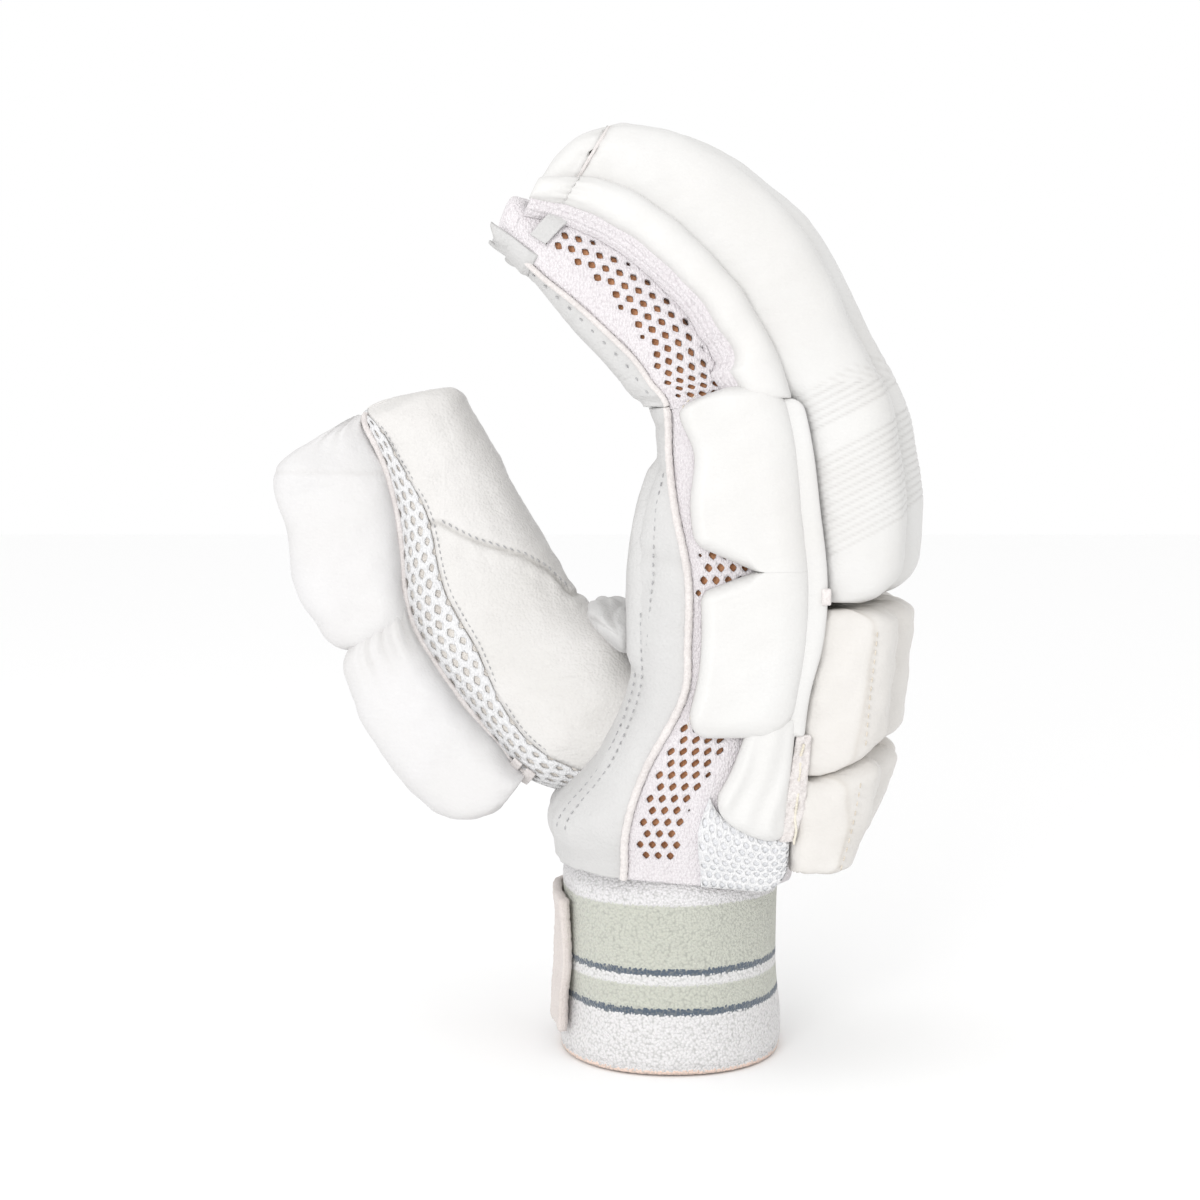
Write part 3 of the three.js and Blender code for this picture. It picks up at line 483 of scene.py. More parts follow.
class Thumb:
    """The thumb's space: a section, a place along it from the fingers' side, and one across the hand."""

    @staticmethod
    def section(t: Array) -> ThumbSection:
        """The thumb's section at row t.

        Args:
            t: rows of the sections.

        Returns:
            The sections, in millimetres.
        """
        value = {name: along(THUMB_SECTIONS, name, t) for name in THUMB_SECTIONS}
        edge = np.stack([value["edge_x"] * HAND_DEPTH, value["edge_z"] * GLOVE_HEIGHT], -1)
        guard = np.stack([value["guard_x"] * HAND_DEPTH, value["guard_z"] * GLOVE_HEIGHT], -1)
        width = np.linalg.norm(guard - edge, axis=-1)
        return ThumbSection(
            edge, unit(guard - edge), width, value["leather"] * width, value["mesh"] * width,
            value["middle"] * FINGER_PITCH, value["half"] * FINGER_PITCH,
        )

    @classmethod
    def spot(cls, t: Array, across: Array, y: Array) -> Array:
        """A point across millimetres along the section from its edge, y from its middle.

        Args:
            t: rows of the sections.
            across: millimetres along the section from its edge.
            y: millimetres from its middle.

        Returns:
            The points, in millimetres.
        """
        s = cls.section(t)
        across, y, x0, z0, dx, dz = np.broadcast_arrays(
            across, s.middle + y, s.edge[..., 0], s.edge[..., 1], s.run[..., 0], s.run[..., 1]
        )
        return np.stack([x0 + dx * across, y, z0 + dz * across], -1)

    @classmethod
    def wall(cls, t: Array, angle: Array, offset: Array) -> Array:
        """A point of the thumb's wall, its section a superellipse.

        Args:
            t: rows of the sections.
            angle: angles round the section.
            offset: millimetres out of the wall.

        Returns:
            The points, in millimetres.
        """
        s = cls.section(t)
        half = (s.mesh - CLEARANCE) / 2
        c, n = superellipse(angle, FINGER_POWER)
        return cls.spot(t, half - (half + offset) * c, (s.half + offset) * n)

    @classmethod
    def seam_angle(cls, t: Array) -> Array:
        """Angle of the seam between the thumb's leather and its mesh."""
        s = cls.section(t)
        return angle_at(s.leather, (s.mesh - CLEARANCE) / 2, FINGER_POWER)

    @classmethod
    def share(cls, points: Array) -> Array:
        """How far out of the thumb's wall points are: below 1 inside it and above 1 outside.

        Args:
            points: places in millimetres, last axis 3.

        Returns:
            One share for each point.
        """
        rows = np.linspace(0, 5, 120)
        s = cls.section(rows)
        pick, across = nearest_section(s.edge, s.run, points[..., [0, 2]])
        half = (s.mesh[pick] - CLEARANCE) / 2
        y = points[..., 1] - s.middle[pick]
        share = np.abs((half - across) / half) ** FINGER_POWER + np.abs(y / s.half[pick]) ** FINGER_POWER
        return np.where(pick == 0, FAR_OUT, share)

    @classmethod
    def near_wall(cls, x: Array, z: Array, offset: float) -> tuple[Array, Array]:
        """Points of the wall's side by the little finger at that X and Z, with their outward directions.

        Args:
            x: X in millimetres.
            z: Z in millimetres.
            offset: millimetres out of the wall.

        Returns:
            The points and their directions.
        """
        rows = np.linspace(0, 8, 1500)
        s = cls.section(rows)
        pick, across = nearest_section(s.edge, s.run, np.stack([x, z], -1))
        angle = -angle_at(across, (s.mesh[pick] - CLEARANCE) / 2, FINGER_POWER)
        return on_wall(cls.wall, rows[pick], angle, offset, offset + 1.0)


@dataclass
class Surface:
    """Points in millimetres with their quads and triangles, and a painted shade for each point, darker in
    creases, gathers, seams and rims.
    """

    points: Array
    quads: Array
    triangles: Array
    shade: Array

    def outward(self) -> "Surface":
        """The same closed surface with its faces turned outwards, judged by its signed volume.

        Returns:
            The surface itself.
        """
        halves = np.concatenate([self.quads[:, :3], self.quads[:, [0, 2, 3]], self.triangles])
        a, b, c = (self.points[halves[:, k]] for k in range(3))
        if (a * np.cross(b, c)).sum() < 0:
            self.quads = self.quads[:, ::-1]
            self.triangles = self.triangles[:, ::-1]
        return self

    def tidy(self) -> "Surface":
        """The same surface without the points that no face uses.

        Returns:
            A new surface.
        """
        used = np.zeros(len(self.points), bool)
        used[self.quads.ravel()] = True
        used[self.triangles.ravel()] = True
        number = np.cumsum(used) - 1
        return Surface(self.points[used], number[self.quads], number[self.triangles], self.shade[used])


NO_TRIANGLES = np.zeros((0, 3), int)


def join(parts: list[Surface]) -> Surface:
    """Several surfaces as one, their faces renumbered.

    Args:
        parts: the surfaces.

    Returns:
        The joined surface.
    """
    starts = np.cumsum([0] + [len(p.points) for p in parts])
    return Surface(
        np.concatenate([p.points for p in parts]),
        np.concatenate([p.quads + s for p, s in zip(parts, starts)]),
        np.concatenate([p.triangles + s for p, s in zip(parts, starts)]),
        np.concatenate([p.shade for p in parts]),
    )


def grid_normals(points: Array, closed: bool) -> Array:
    """Unit normals of a grid: the cross product of its differences along rows and columns.

    Args:
        points: the grid.
        closed: whether the last column joins the first.

    Returns:
        One unit vector for each point.
    """
    down = np.gradient(points, axis=0)
    across = (np.roll(points, -1, 1) - np.roll(points, 1, 1)) / 2 if closed else np.gradient(points, axis=1)
    return unit(np.cross(down, across))


def raised(base: Array, beyond: Array, height: Array | float, closed: bool = False) -> Array:
    """A grid moved along its normals.

    Args:
        base: the grid.
        beyond: the same grid a little further out, which tells the outer side.
        height: millimetres to move, one value or one for each point.
        closed: whether the last column joins the first.

    Returns:
        The moved grid.
    """
    normals = grid_normals(base, closed)
    side = np.sign((normals * (beyond - base)).sum(-1, keepdims=True))
    return base + normals * side * np.asarray(height)[..., None]


def wall(outer: Array, inner: Array, shade: Array | None = None, keep: Array | None = None) -> Surface:
    """A closed wall between two grids, with a rim at its border and round each dropped cell.

    Args:
        outer: grid of the outer face.
        inner: grid of the inner face.
        shade: painted shade of the outer face.
        keep: which cells are kept; all without it.

    Returns:
        The wall's surface.
    """
    rows, columns = outer.shape[:2]
    keep = np.ones((rows - 1, columns - 1), bool) if keep is None else keep
    number = np.arange(rows * columns).reshape(rows, columns)
    a, b, c, d = number[:-1, :-1], number[1:, :-1], number[1:, 1:], number[:-1, 1:]
    top = np.stack([a, b, c, d], -1)[keep]
    under = rows * columns
    quads = [top, top[:, ::-1] + under]
    ringed = np.zeros((rows + 1, columns + 1), bool)
    ringed[1:-1, 1:-1] = keep
    sides = (
        (d, a, ringed[:-2, 1:-1]),
        (b, c, ringed[2:, 1:-1]),
        (a, b, ringed[1:-1, :-2]),
        (c, d, ringed[1:-1, 2:]),
    )
    for p, q, neighbour in sides:
        bare = keep & ~neighbour
        quads.append(np.stack([q[bare], p[bare], p[bare] + under, q[bare] + under], -1))
    shade = np.broadcast_to(0.0 if shade is None else shade, (rows, columns))
    return Surface(
        np.concatenate([outer.reshape(-1, 3), inner.reshape(-1, 3)]),
        np.concatenate(quads),
        NO_TRIANGLES,
        np.concatenate([shade.ravel(), shade.ravel()]),
    ).tidy().outward()


def cells_out(space: "type[Hand] | type[Thumb]", grid: Array, least: float) -> Array:
    """Which of a grid's cells have their middles out of a space's wall, by that share of it or more."""
    return space.share((grid[:-1, :-1] + grid[1:, 1:]) / 2) > least


def loft(grid: Array, shade: Array | None = None) -> Surface:
    """A closed surface through rings: rows are rings, and each end is a fan to its ring's middle.

    Args:
        grid: the rings' points, in millimetres.
        shade: painted shade of each point; none without it.

    Returns:
        The closed surface.
    """
    rows, columns = grid.shape[:2]
    number = np.arange(rows * columns).reshape(rows, columns)
    turned = np.roll(number, -1, 1)
    quads = np.stack([number[:-1], number[1:], turned[1:], turned[:-1]], -1).reshape(-1, 4)
    first, last = rows * columns, rows * columns + 1
    start = np.stack([np.full(columns, first), number[0], turned[0]], -1)
    end = np.stack([np.full(columns, last), turned[-1], number[-1]], -1)
    shade = np.broadcast_to(0.0 if shade is None else shade, (rows, columns))
    return Surface(
        np.concatenate([grid.reshape(-1, 3), grid[[0, -1]].mean(1)]),
        quads,
        np.concatenate([start, end]),
        np.concatenate([shade.ravel(), shade[[0, -1]].mean(1)]),
    ).outward()


def pipe(grid: Array) -> Surface:
    """A ring-shaped tube: the rows close on themselves as the columns do.

    Args:
        grid: the rings' points, in millimetres.

    Returns:
        The closed surface.
    """
    rows, columns = grid.shape[:2]
    number = np.arange(rows * columns).reshape(rows, columns)
    down, turned = np.roll(number, -1, 0), np.roll(number, -1, 1)
    quads = np.stack([number, down, np.roll(down, -1, 1), turned], -1).reshape(-1, 4)
    return Surface(grid.reshape(-1, 3), quads, NO_TRIANGLES, np.zeros(rows * columns)).outward()


def tube_grid(path: Array, up: Array, radius: Array | float, sides: int, closed: bool = False) -> Array:
    """Rings round a path: its point, plus the radius times the cosine along up and the sine sideways.

    Args:
        path: points of the path.
        up: a direction for each point, about square to the path.
        radius: the tube's radius, one value or one for each point.
        sides: points in a ring.
        closed: whether the path closes on itself.

    Returns:
        Grid of the rings.
    """
    ahead = unit((np.roll(path, -1, 0) - np.roll(path, 1, 0)) if closed else np.gradient(path, axis=0))
    across = unit(np.cross(ahead, up))
    over = np.cross(across, ahead)
    turn = turns(sides)[..., None]
    size = np.broadcast_to(radius, len(path))[:, None, None]
    return path[:, None] + size * (np.cos(turn) * over[:, None] + np.sin(turn) * across[:, None])


def cord(path: Array, up: Array, radius: Array | float, sides: int = 8) -> Surface:
    """A round cord along a path, closed at both ends."""
    return loft(tube_grid(path, up, radius, sides))


def even_steps(path: Array, up: Array, pitch: float) -> tuple[Array, Array, Array]:
    """Places along a path at equal distances, with the direction ahead and the up direction there.

    Args:
        path: points of the path.
        up: a direction for each point.
        pitch: distance between places.

    Returns:
        The places, the directions ahead and the up directions.
    """
    lengths = np.concatenate([[0], np.cumsum(np.linalg.norm(np.diff(path, axis=0), axis=1))])
    count = max(int(lengths[-1] / pitch), 1)
    spots = (np.arange(count) + 0.5) * lengths[-1] / count
    ahead = unit(np.gradient(path, axis=0))
    place, ahead, over = (
        np.stack([np.interp(spots, lengths, a[:, k]) for k in range(3)], -1) for a in (path, ahead, up)
    )
    return place, unit(ahead), unit(over)


def stitches(path: Array, up: Array, pitch: float, length: float, radius: float,
             slant: float = 0.0) -> Surface:
    """A row of short thread stitches: ellipsoids along a path, each half sunk in the surface.

    Args:
        path: points of the seam on the surface.
        up: the surface's outward direction at each.
        pitch: distance from stitch to stitch.
        length: length of a stitch.
        radius: half thickness of the thread.
        slant: how far each stitch leans across the seam, as a share of its length.

    Returns:
        One surface with all the stitches.
    """
    centre, ahead, over = even_steps(path, up, pitch)
    across = unit(np.cross(ahead, over))
    lean = unit(ahead + slant * across)
    across = unit(np.cross(lean, over))
    over = np.cross(across, lean)
    polar = np.linspace(0.35, np.pi - 0.35, 5)[:, None]
    turn = turns(6)
    girth = np.sin(polar) * radius
    local = np.stack(np.broadcast_arrays(
        -np.cos(polar) * length / 2, girth * np.cos(turn), girth * np.sin(turn)
    ), -1)
    axes = np.stack([lean, across, over], 1)
    grids = centre[:, None, None] + np.einsum("rcj,njk->nrck", local, axes)
    return join([loft(g) for g in grids])


def knit_pattern(rows: int, columns: int, size: Callable[[Array, Array], Array],
                 reach: tuple[float, float]) -> tuple[Array, ...]:
    """Steps of a knitted net with staggered round holes, four steps from hole to hole.

    Each hole takes the place of four cells, and its eight neighbours move onto a circle round its middle.

    Args:
        rows: grid points along the rows.
        columns: grid points across.
        size: a hole's size from 0 to 1, from the row and column of its middle.
        reach: half sizes of a full hole along the rows' count and across, in steps.

    Returns:
        The grid's row and column numbers, shifted round the holes, and the cells that are kept.
    """
    i, j = np.meshgrid(np.arange(rows), np.arange(columns), indexing="ij")
    band = np.round((i - 2) / 4)
    middle_i = 4 * band + 2
    stagger = 2 * (band % 2)
    middle_j = 4 * np.round((j - 2 - stagger) / 4) + 2 + stagger
    share = size(middle_i, middle_j)
    di, dj = i - middle_i, j - middle_j
    ring = (np.maximum(np.abs(di), np.abs(dj)) == 1) & (share > 0.3)
    pull = share / np.maximum(np.hypot(di, dj), 1e-6) * np.where(np.abs(di * dj) == 1, 0.84, 1.0)
    ci, cj = i[:-1, :-1] + 0.5, j[:-1, :-1] + 0.5
    cell_band = np.round((ci - 2) / 4)
    cell_i = 4 * cell_band + 2
    cell_stagger = 2 * (cell_band % 2)
    cell_j = 4 * np.round((cj - 2 - cell_stagger) / 4) + 2 + cell_stagger
    hole = (np.abs(ci - cell_i) < 1) & (np.abs(cj - cell_j) < 1) & (size(cell_i, cell_j) > 0.3)
    moved_i = middle_i + di * np.where(ring, pull * reach[0], 1)
    moved_j = middle_j + dj * np.where(ring, pull * reach[1], 1)
    return moved_i, moved_j, ~hole


class Graph:
    """A material's node tree, with one method for each way of adding a node."""

    def __init__(self, name: str) -> None:
        """Starts an empty node tree in a new material.

        Args:
            name: the material's name.
        """
        self.material = bpy.data.materials.new(name)
        self.material.use_nodes = True
        self.tree = self.material.node_tree
        self.tree.nodes.clear()

    def plug(self, slot: bpy.types.NodeSocket, value: object) -> None:
        """Links a socket to an input, or sets the input's own value.

        Args:
            slot: the input.
            value: a socket, a number, a colour or a vector.
        """
        if isinstance(value, Socket):
            self.tree.links.new(value.output, slot)
        else:
            slot.default_value = value

    def node(self, kind: str, settings: dict | None = None, inputs: dict | None = None) -> bpy.types.Node:
        """Adds any node, sets its settings first and then its sockets.

        Args:
            kind: the node's type.
            settings: its settings by name.
            inputs: its inputs by name or number.

        Returns:
            The node.
        """
        node = self.tree.nodes.new(kind)
        for name, value in (settings or {}).items():
            setattr(node, name, value)
        for name, value in (inputs or {}).items():
            self.plug(node.inputs[name], value)
        return node

    def output(self, node: bpy.types.Node, name: str | int = 0) -> "Socket":
        """One output of a node as a socket."""
        return Socket(self, node.outputs[name])

    def math(self, operation: str, *values: object) -> "Socket":
        """A Math node over sockets and numbers.

        Args:
            operation: the sum to work out.
            values: its sockets and numbers.

        Returns:
            The result.
        """
        node = self.tree.nodes.new("ShaderNodeMath")
        node.operation = operation
        for slot, value in zip(node.inputs, values):
            self.plug(slot, value)
        return Socket(self, node.outputs[0])

    def mix(self, share: object, first: object, second: object) -> "Socket":
        """A colour between two colours.

        Args:
            share: 0 for the first, 1 for the second.
            first: a colour.
            second: a colour.

        Returns:
            The mixed colour.
        """
        node = self.node("ShaderNodeMix", {"data_type": "RGBA"})
        for index, value in ((0, share), (6, first), (7, second)):
            self.plug(node.inputs[index], value)
        return Socket(self, node.outputs[2])

    def place(self) -> "Socket":
        """The point on the object, in metres."""
        return self.output(self.node("ShaderNodeTexCoord"), "Object")

    def stretched(self, place: "Socket", scale: tuple[float, float, float]) -> "Socket":
        """The point with its axes scaled."""
        node = self.node("ShaderNodeVectorMath", {"operation": "MULTIPLY"}, {0: place, 1: scale})
        return self.output(node)

    def noise(self, place: "Socket", size: float, detail: float = 2.0) -> "Socket":
        """Soft noise from 0 to 1 with lumps of about that size in metres."""
        inputs = {"Vector": place, "Scale": 1 / size, "Detail": detail}
        return self.output(self.node("ShaderNodeTexNoise", None, inputs), 0)

    def cells(self, place: "Socket", size: float) -> "Socket":
        """Distance to the nearest of scattered points, about size metres apart."""
        inputs = {"Vector": place, "Scale": 1 / size}
        return self.output(self.node("ShaderNodeTexVoronoi", None, inputs), "Distance")

    def painted_shade(self) -> "Socket":
        """The piece's painted shade, read from its mesh attribute."""
        return self.output(self.node("ShaderNodeAttribute", {"attribute_name": "painted_shade"}), "Fac")

    def bump(self, height: "Socket", depth: float, strength: float = 1.0) -> "Socket":
        """A normal bent by a height, with its depth in metres."""
        inputs = {"Height": height, "Distance": depth, "Strength": strength}
        return self.output(self.node("ShaderNodeBump", None, inputs))

    def shade(self, inputs: dict) -> bpy.types.Material:
        """Ends the tree with the shader and its output.

        Args:
            inputs: the shader's inputs by name.

        Returns:
            The finished material.
        """
        shader = self.node("ShaderNodeBsdfPrincipled", None, inputs)
        self.node("ShaderNodeOutputMaterial", None, {"Surface": Socket(self, shader.outputs[0])})
        return self.material


@dataclass(frozen=True)
class Socket:
    """An output of a node that works in sums as a number does."""

    graph: Graph
    output: bpy.types.NodeSocket

    def __add__(self, other: object) -> "Socket":
        """The sum."""
        return self.graph.math("ADD", self, other)

    __radd__ = __add__

    def __mul__(self, other: object) -> "Socket":
        """The product."""
        return self.graph.math("MULTIPLY", self, other)

    __rmul__ = __mul__

    def __sub__(self, other: object) -> "Socket":
        """The difference."""
        return self.graph.math("SUBTRACT", self, other)

    def __rsub__(self, other: object) -> "Socket":
        """The difference from a number."""
        return self.graph.math("SUBTRACT", other, self)

    def __truediv__(self, other: object) -> "Socket":
        """The quotient."""
        return self.graph.math("DIVIDE", self, other)

    def between(self, low: float, high: float) -> "Socket":
        """0 below low and 1 above high."""
        scaled = (self - low) / (high - low)
        return self.graph.math("MINIMUM", self.graph.math("MAXIMUM", scaled, 0.0), 1.0)


Colour = tuple[float, float, float, float]


@dataclass(frozen=True)
class Leather:
    """Soft tanned leather: a fine grain, faint mottling, and painted shade mixed in where the piece's mesh
    asks for it.
    """

    name: str
    colour: Colour
    deep: Colour
    # Colour that the painted shade of creases, gathers, seams and rims mixes towards
    painted_shade: Colour
    roughness: float = 0.55
    grain: float = 0.0009
    grain_depth: float = 0.00012
    ripple_depth: float = 0.0004

    def build(self) -> bpy.types.Material:
        """Makes the material: cells for the grain, stretched noise for fine wrinkles.

        Returns:
            The material.
        """
        g = Graph(self.name)
        place = g.place()
        mottle = g.noise(place, 0.03, 3.0).between(0.35, 0.68)
        fine = g.noise(place, 0.004, 3.0)
        colour = g.mix(mottle, self.colour, self.deep)
        # Painted shade: the colour darkens towards the shade colour by the mesh's attribute
        colour = g.mix(g.painted_shade().between(0.0, 1.0), colour, self.painted_shade)
        grain = g.cells(place, self.grain)
        ripple = g.noise(g.stretched(place, (1.0, 1.0, 2.6)), 0.006, 4.0)
        rough = (fine - 0.5) * 0.16 + self.roughness
        normal = g.bump(ripple + grain * (self.grain_depth / self.ripple_depth), self.ripple_depth)
        return g.shade({
            "Base Color": colour, "Roughness": rough, "Normal": normal, "Specular IOR Level": 0.35,
        })


@dataclass(frozen=True)
class Knit:
    """Knitted polyester: small loops in ribs, matt, with a soft sheen."""

    name: str
    colour: Colour
    deep: Colour
    loop: float = 0.00075
    depth: float = 0.00035

    def build(self) -> bpy.types.Material:
        """Makes the material: cells for the loops, with painted shade between them.

        Returns:
            The material.
        """
        g = Graph(self.name)
        place = g.place()
        loops = g.cells(g.stretched(place, (1.0, 1.0, 0.72)), self.loop)
        shade = g.noise(place, 0.012).between(0.3, 0.75)
        # Painted shade between the loops
        colour = g.mix(loops.between(0.35, 0.95), self.colour, self.deep)
        colour = g.mix(shade * 0.35, colour, self.deep)
        normal = g.bump(1.0 - loops, self.depth)
        rough = shade * 0.08 + 0.86
        return g.shade({
            "Base Color": colour, "Roughness": rough, "Normal": normal,
            "Sheen Weight": 0.25, "Sheen Roughness": 0.5,
        })


@dataclass(frozen=True)
class Towelling:
    """Looped cotton in knitted bands, one colour after another up from the hem."""

    name: str
    bands: tuple[tuple[float, Colour], ...]
    loop: float = 0.00075
    waver: float = 0.0012

    def build(self) -> bpy.types.Material:
        """Makes the material: bands by height with wavering borders, over cells for the loops.

        Returns:
            The material.
        """
        g = Graph(self.name)
        place = g.place()
        loops = g.cells(place, self.loop)
        level = g.output(g.node("ShaderNodeSeparateXYZ", None, {"Vector": place}), "Z")
        level = level + (loops - 0.4) * self.waver
        colour = self.bands[0][1]
        for start, band in self.bands[1:]:
            colour = g.mix(level.between(start - 0.00015, start + 0.00015), colour, band)
        # Painted shade between the loops, the same dark grey over every band
        colour = g.mix(loops.between(0.42, 0.9) * 0.48, colour, (0.28, 0.285, 0.26, 1))
        fuzz = g.noise(place, 0.0003, 2.0)
        normal = g.bump(1.0 - loops + fuzz * 0.4, 0.0005)
        rough = fuzz * 0.1 + 0.88
        return g.shade({
            "Base Color": colour, "Roughness": rough, "Normal": normal,
            "Sheen Weight": 0.3, "Sheen Roughness": 0.6,
        })


@dataclass(frozen=True)
class Felt:
    """Short fibres of tape, lining or a raw edge, with a fine lumpy bump."""

    name: str
    colour: Colour
    deep: Colour
    size: float = 0.0006
    depth: float = 0.0003

    def build(self) -> bpy.types.Material:
        """Makes the material: two scales of noise in colour and bump.

        Returns:
            The material.
        """
        g = Graph(self.name)
        place = g.place()
        fibres = g.noise(place, self.size, 3.0)
        patches = g.noise(place, 0.009, 2.0)
        colour = g.mix((fibres * 0.6 + patches * 0.4).between(0.4, 0.62), self.colour, self.deep)
        normal = g.bump(fibres + g.cells(place, self.size) * 0.5, self.depth)
        rough = fibres * 0.1 + 0.85
        return g.shade({"Base Color": colour, "Roughness": rough, "Normal": normal, "Sheen Weight": 0.2})


@dataclass(frozen=True)
class Thread:
    """Twisted sewing thread, plain and slightly glossy."""

    name: str
    colour: Colour
    deep: Colour

    def build(self) -> bpy.types.Material:
        """Makes the material: fine noise as the twist.

        Returns:
            The material.
        """
        g = Graph(self.name)
        place = g.place()
        twist = g.noise(place, 0.0005, 2.0)
        colour = g.mix(twist.between(0.35, 0.65), self.colour, self.deep)
        rough = twist * 0.2 + 0.5
        return g.shade({"Base Color": colour, "Roughness": rough, "Normal": g.bump(twist, 0.0002)})


class Finish(Enum):
    """The glove's finishes. The colours are linear; a leather's third colour is its painted shade colour."""

    ROLL = Leather(
        "roll_leather", (0.7, 0.695, 0.685, 1), (0.675, 0.665, 0.65, 1), (0.44, 0.42, 0.4, 1), 0.5,
        grain_depth=0.00005, ripple_depth=0.00025,
    )
    BLOCK = Leather(
        "block_leather", (0.69, 0.67, 0.645, 1), (0.66, 0.635, 0.605, 1), (0.42, 0.37, 0.31, 1), 0.5,
        grain_depth=0.00006, ripple_depth=0.0003,
    )
    GUARD = Leather(
        "guard_leather", (0.69, 0.682, 0.685, 1), (0.665, 0.655, 0.65, 1), (0.42, 0.4, 0.37, 1), 0.52,
        grain_depth=0.00007, ripple_depth=0.0003,
    )
    PALM = Leather(
        "palm_leather", (0.61, 0.605, 0.6, 1), (0.56, 0.555, 0.55, 1), (0.37, 0.36, 0.35, 1), 0.6,
        grain=0.0008, grain_depth=0.00014, ripple_depth=0.0004,
    )
    THUMB = Leather(
        "thumb_leather", (0.7, 0.685, 0.67, 1), (0.655, 0.64, 0.62, 1), (0.39, 0.37, 0.34, 1), 0.58,
        grain=0.0008, grain_depth=0.00015, ripple_depth=0.0004,
    )
    KNIT = Knit("knit_mesh", (0.77, 0.74, 0.755, 1), (0.62, 0.58, 0.6, 1), loop=0.00058)
    SPACER = Knit("spacer_mesh", (0.8, 0.8, 0.805, 1), (0.66, 0.66, 0.67, 1), loop=0.0006)
    CELL = Felt("mesh_cells", (0.76, 0.725, 0.68, 1), (0.58, 0.54, 0.5, 1), size=0.0004)
    PALE_CELL = Felt("pale_mesh_cells", (0.8, 0.8, 0.82, 1), (0.68, 0.69, 0.71, 1), size=0.0005)
    LINING = Felt("tan_lining", (0.78, 0.4, 0.21, 1), (0.45, 0.19, 0.09, 1), size=0.0012)
    TAPE = Felt("hook_tape", (0.72, 0.66, 0.63, 1), (0.63, 0.57, 0.54, 1), size=0.0005)
    EDGING = Felt("cream_edging", (0.8, 0.76, 0.66, 1), (0.7, 0.64, 0.52, 1), size=0.0005)
    PIPING = Felt("white_piping", (0.74, 0.705, 0.69, 1), (0.63, 0.59, 0.575, 1), size=0.0006, depth=0.00015)
    GREY_THREAD = Thread("grey_thread", (0.5, 0.5, 0.5, 1), (0.33, 0.33, 0.34, 1))
    TAN_THREAD = Thread("tan_thread", (0.72, 0.66, 0.57, 1), (0.55, 0.49, 0.4, 1))
    TOWELLING = Towelling("towelling", (
        (0.0, (0.86, 0.66, 0.56, 1)),
        (0.0011, (0.78, 0.765, 0.77, 1)),
        (0.0161, (0.075, 0.105, 0.145, 1)),
        (0.0179, (0.57, 0.58, 0.51, 1)),
        (0.0241, (0.77, 0.76, 0.76, 1)),
        (0.0268, (0.075, 0.105, 0.145, 1)),
        (0.0285, (0.57, 0.58, 0.51, 1)),
        (0.046, (0.78, 0.765, 0.775, 1)),
    ))


class Wardrobe:
    """Makes each finish's material once and hangs pieces on the frame."""

    def __init__(self) -> None:
        """Starts with no materials and no pieces."""
        self.materials: dict[Finish, bpy.types.Material] = {}
        self.triangles = 0

    def material(self, finish: Finish) -> bpy.types.Material:
        """The finish's material.

        Args:
            finish: one of the glove's finishes.

        Returns:
            Its material, made at its first use.
        """
        if finish not in self.materials:
            self.materials[finish] = finish.value.build()
        return self.materials[finish]

    def add(self, name: str, surface: Surface, finish: Finish, slot: str, nodes: tuple[str, ...] = (),
            fill: float | None = None) -> bpy.types.Object:
        """Makes an object of a surface and puts it on the frame.

        Args:
            name: the piece's name.
            surface: its points and faces, in millimetres.
            finish: its finish.
            slot: the record's material slot; not used.
            nodes: the solids that it stands for.
            fill: how full a padded piece is; nothing for others. Not used.

        Returns:
            The object.
        """
        corners = np.concatenate([surface.quads.ravel(), surface.triangles.ravel()])
        sizes = np.concatenate([np.full(len(surface.quads), 4), np.full(len(surface.triangles), 3)])
        mesh = bpy.data.meshes.new(name)
        mesh.vertices.add(len(surface.points))
        mesh.vertices.foreach_set("co", (surface.points * MM).astype(np.float32).ravel())
        mesh.loops.add(len(corners))
        mesh.loops.foreach_set("vertex_index", corners.astype(np.int32))
        mesh.polygons.add(len(sizes))
        mesh.polygons.foreach_set("loop_start", (np.cumsum(sizes) - sizes).astype(np.int32))
        mesh.polygons.foreach_set("use_smooth", np.ones(len(sizes), bool))
        # Painted shade of each point, stored for the leathers to mix in
        painted_shade = mesh.attributes.new("painted_shade", "FLOAT", "POINT")
        painted_shade.data.foreach_set("value", surface.shade.astype(np.float32))
        mesh.update(calc_edges=True)
        mesh.validate()
        mesh.materials.append(self.material(finish))
        piece = bpy.data.objects.new(name, mesh)
        bpy.context.scene.collection.objects.link(piece)
        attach(piece, "root")
        if nodes:
            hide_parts(*nodes)
        count = 2 * len(surface.quads) + len(surface.triangles)
        self.triangles += count
        log.info("%s: %d triangles", name, count)
        return piece


@dataclass
class Part:
    """A sub-assembly of the glove, which hangs its pieces on the frame through its wardrobe."""

    wardrobe: Wardrobe

    def add(self, *piece: object) -> None:
        """Hangs a piece, given as Wardrobe.add asks for it."""
        self.wardrobe.add(*piece)


def pad_rows(start: float, end: float, steps: Array, rise: float, fall: float,
             least: float) -> tuple[Array, Array]:
    """Rows of a padded piece and how full each is: a quarter circle at its rounded ends.

    Args:
        start: first row.
        end: last row.
        steps: shares from 0 to 1, one for each ring.
        rise: rows over which the start fills.
        fall: rows over which the end empties; 0 leaves it full.
        least: fullness left at an end.

    Returns:
        The rows and the fullness of each.
    """
    t = lerp(start, end, steps)
    near = np.clip((t - start) / rise, 0, 1)
    if fall:
        near = np.minimum(near, np.clip((end - t) / fall, 0, 1))
    return t, lerp(least, 1.0, np.sqrt(1 - (1 - near) ** 2))


def eased_steps(count: int) -> Array:
    """Shares from 0 to 1, closer together at both ends."""
    u = np.linspace(0, 1, count)
    return lerp(u, 0.5 - 0.5 * np.cos(np.pi * u), 0.75)


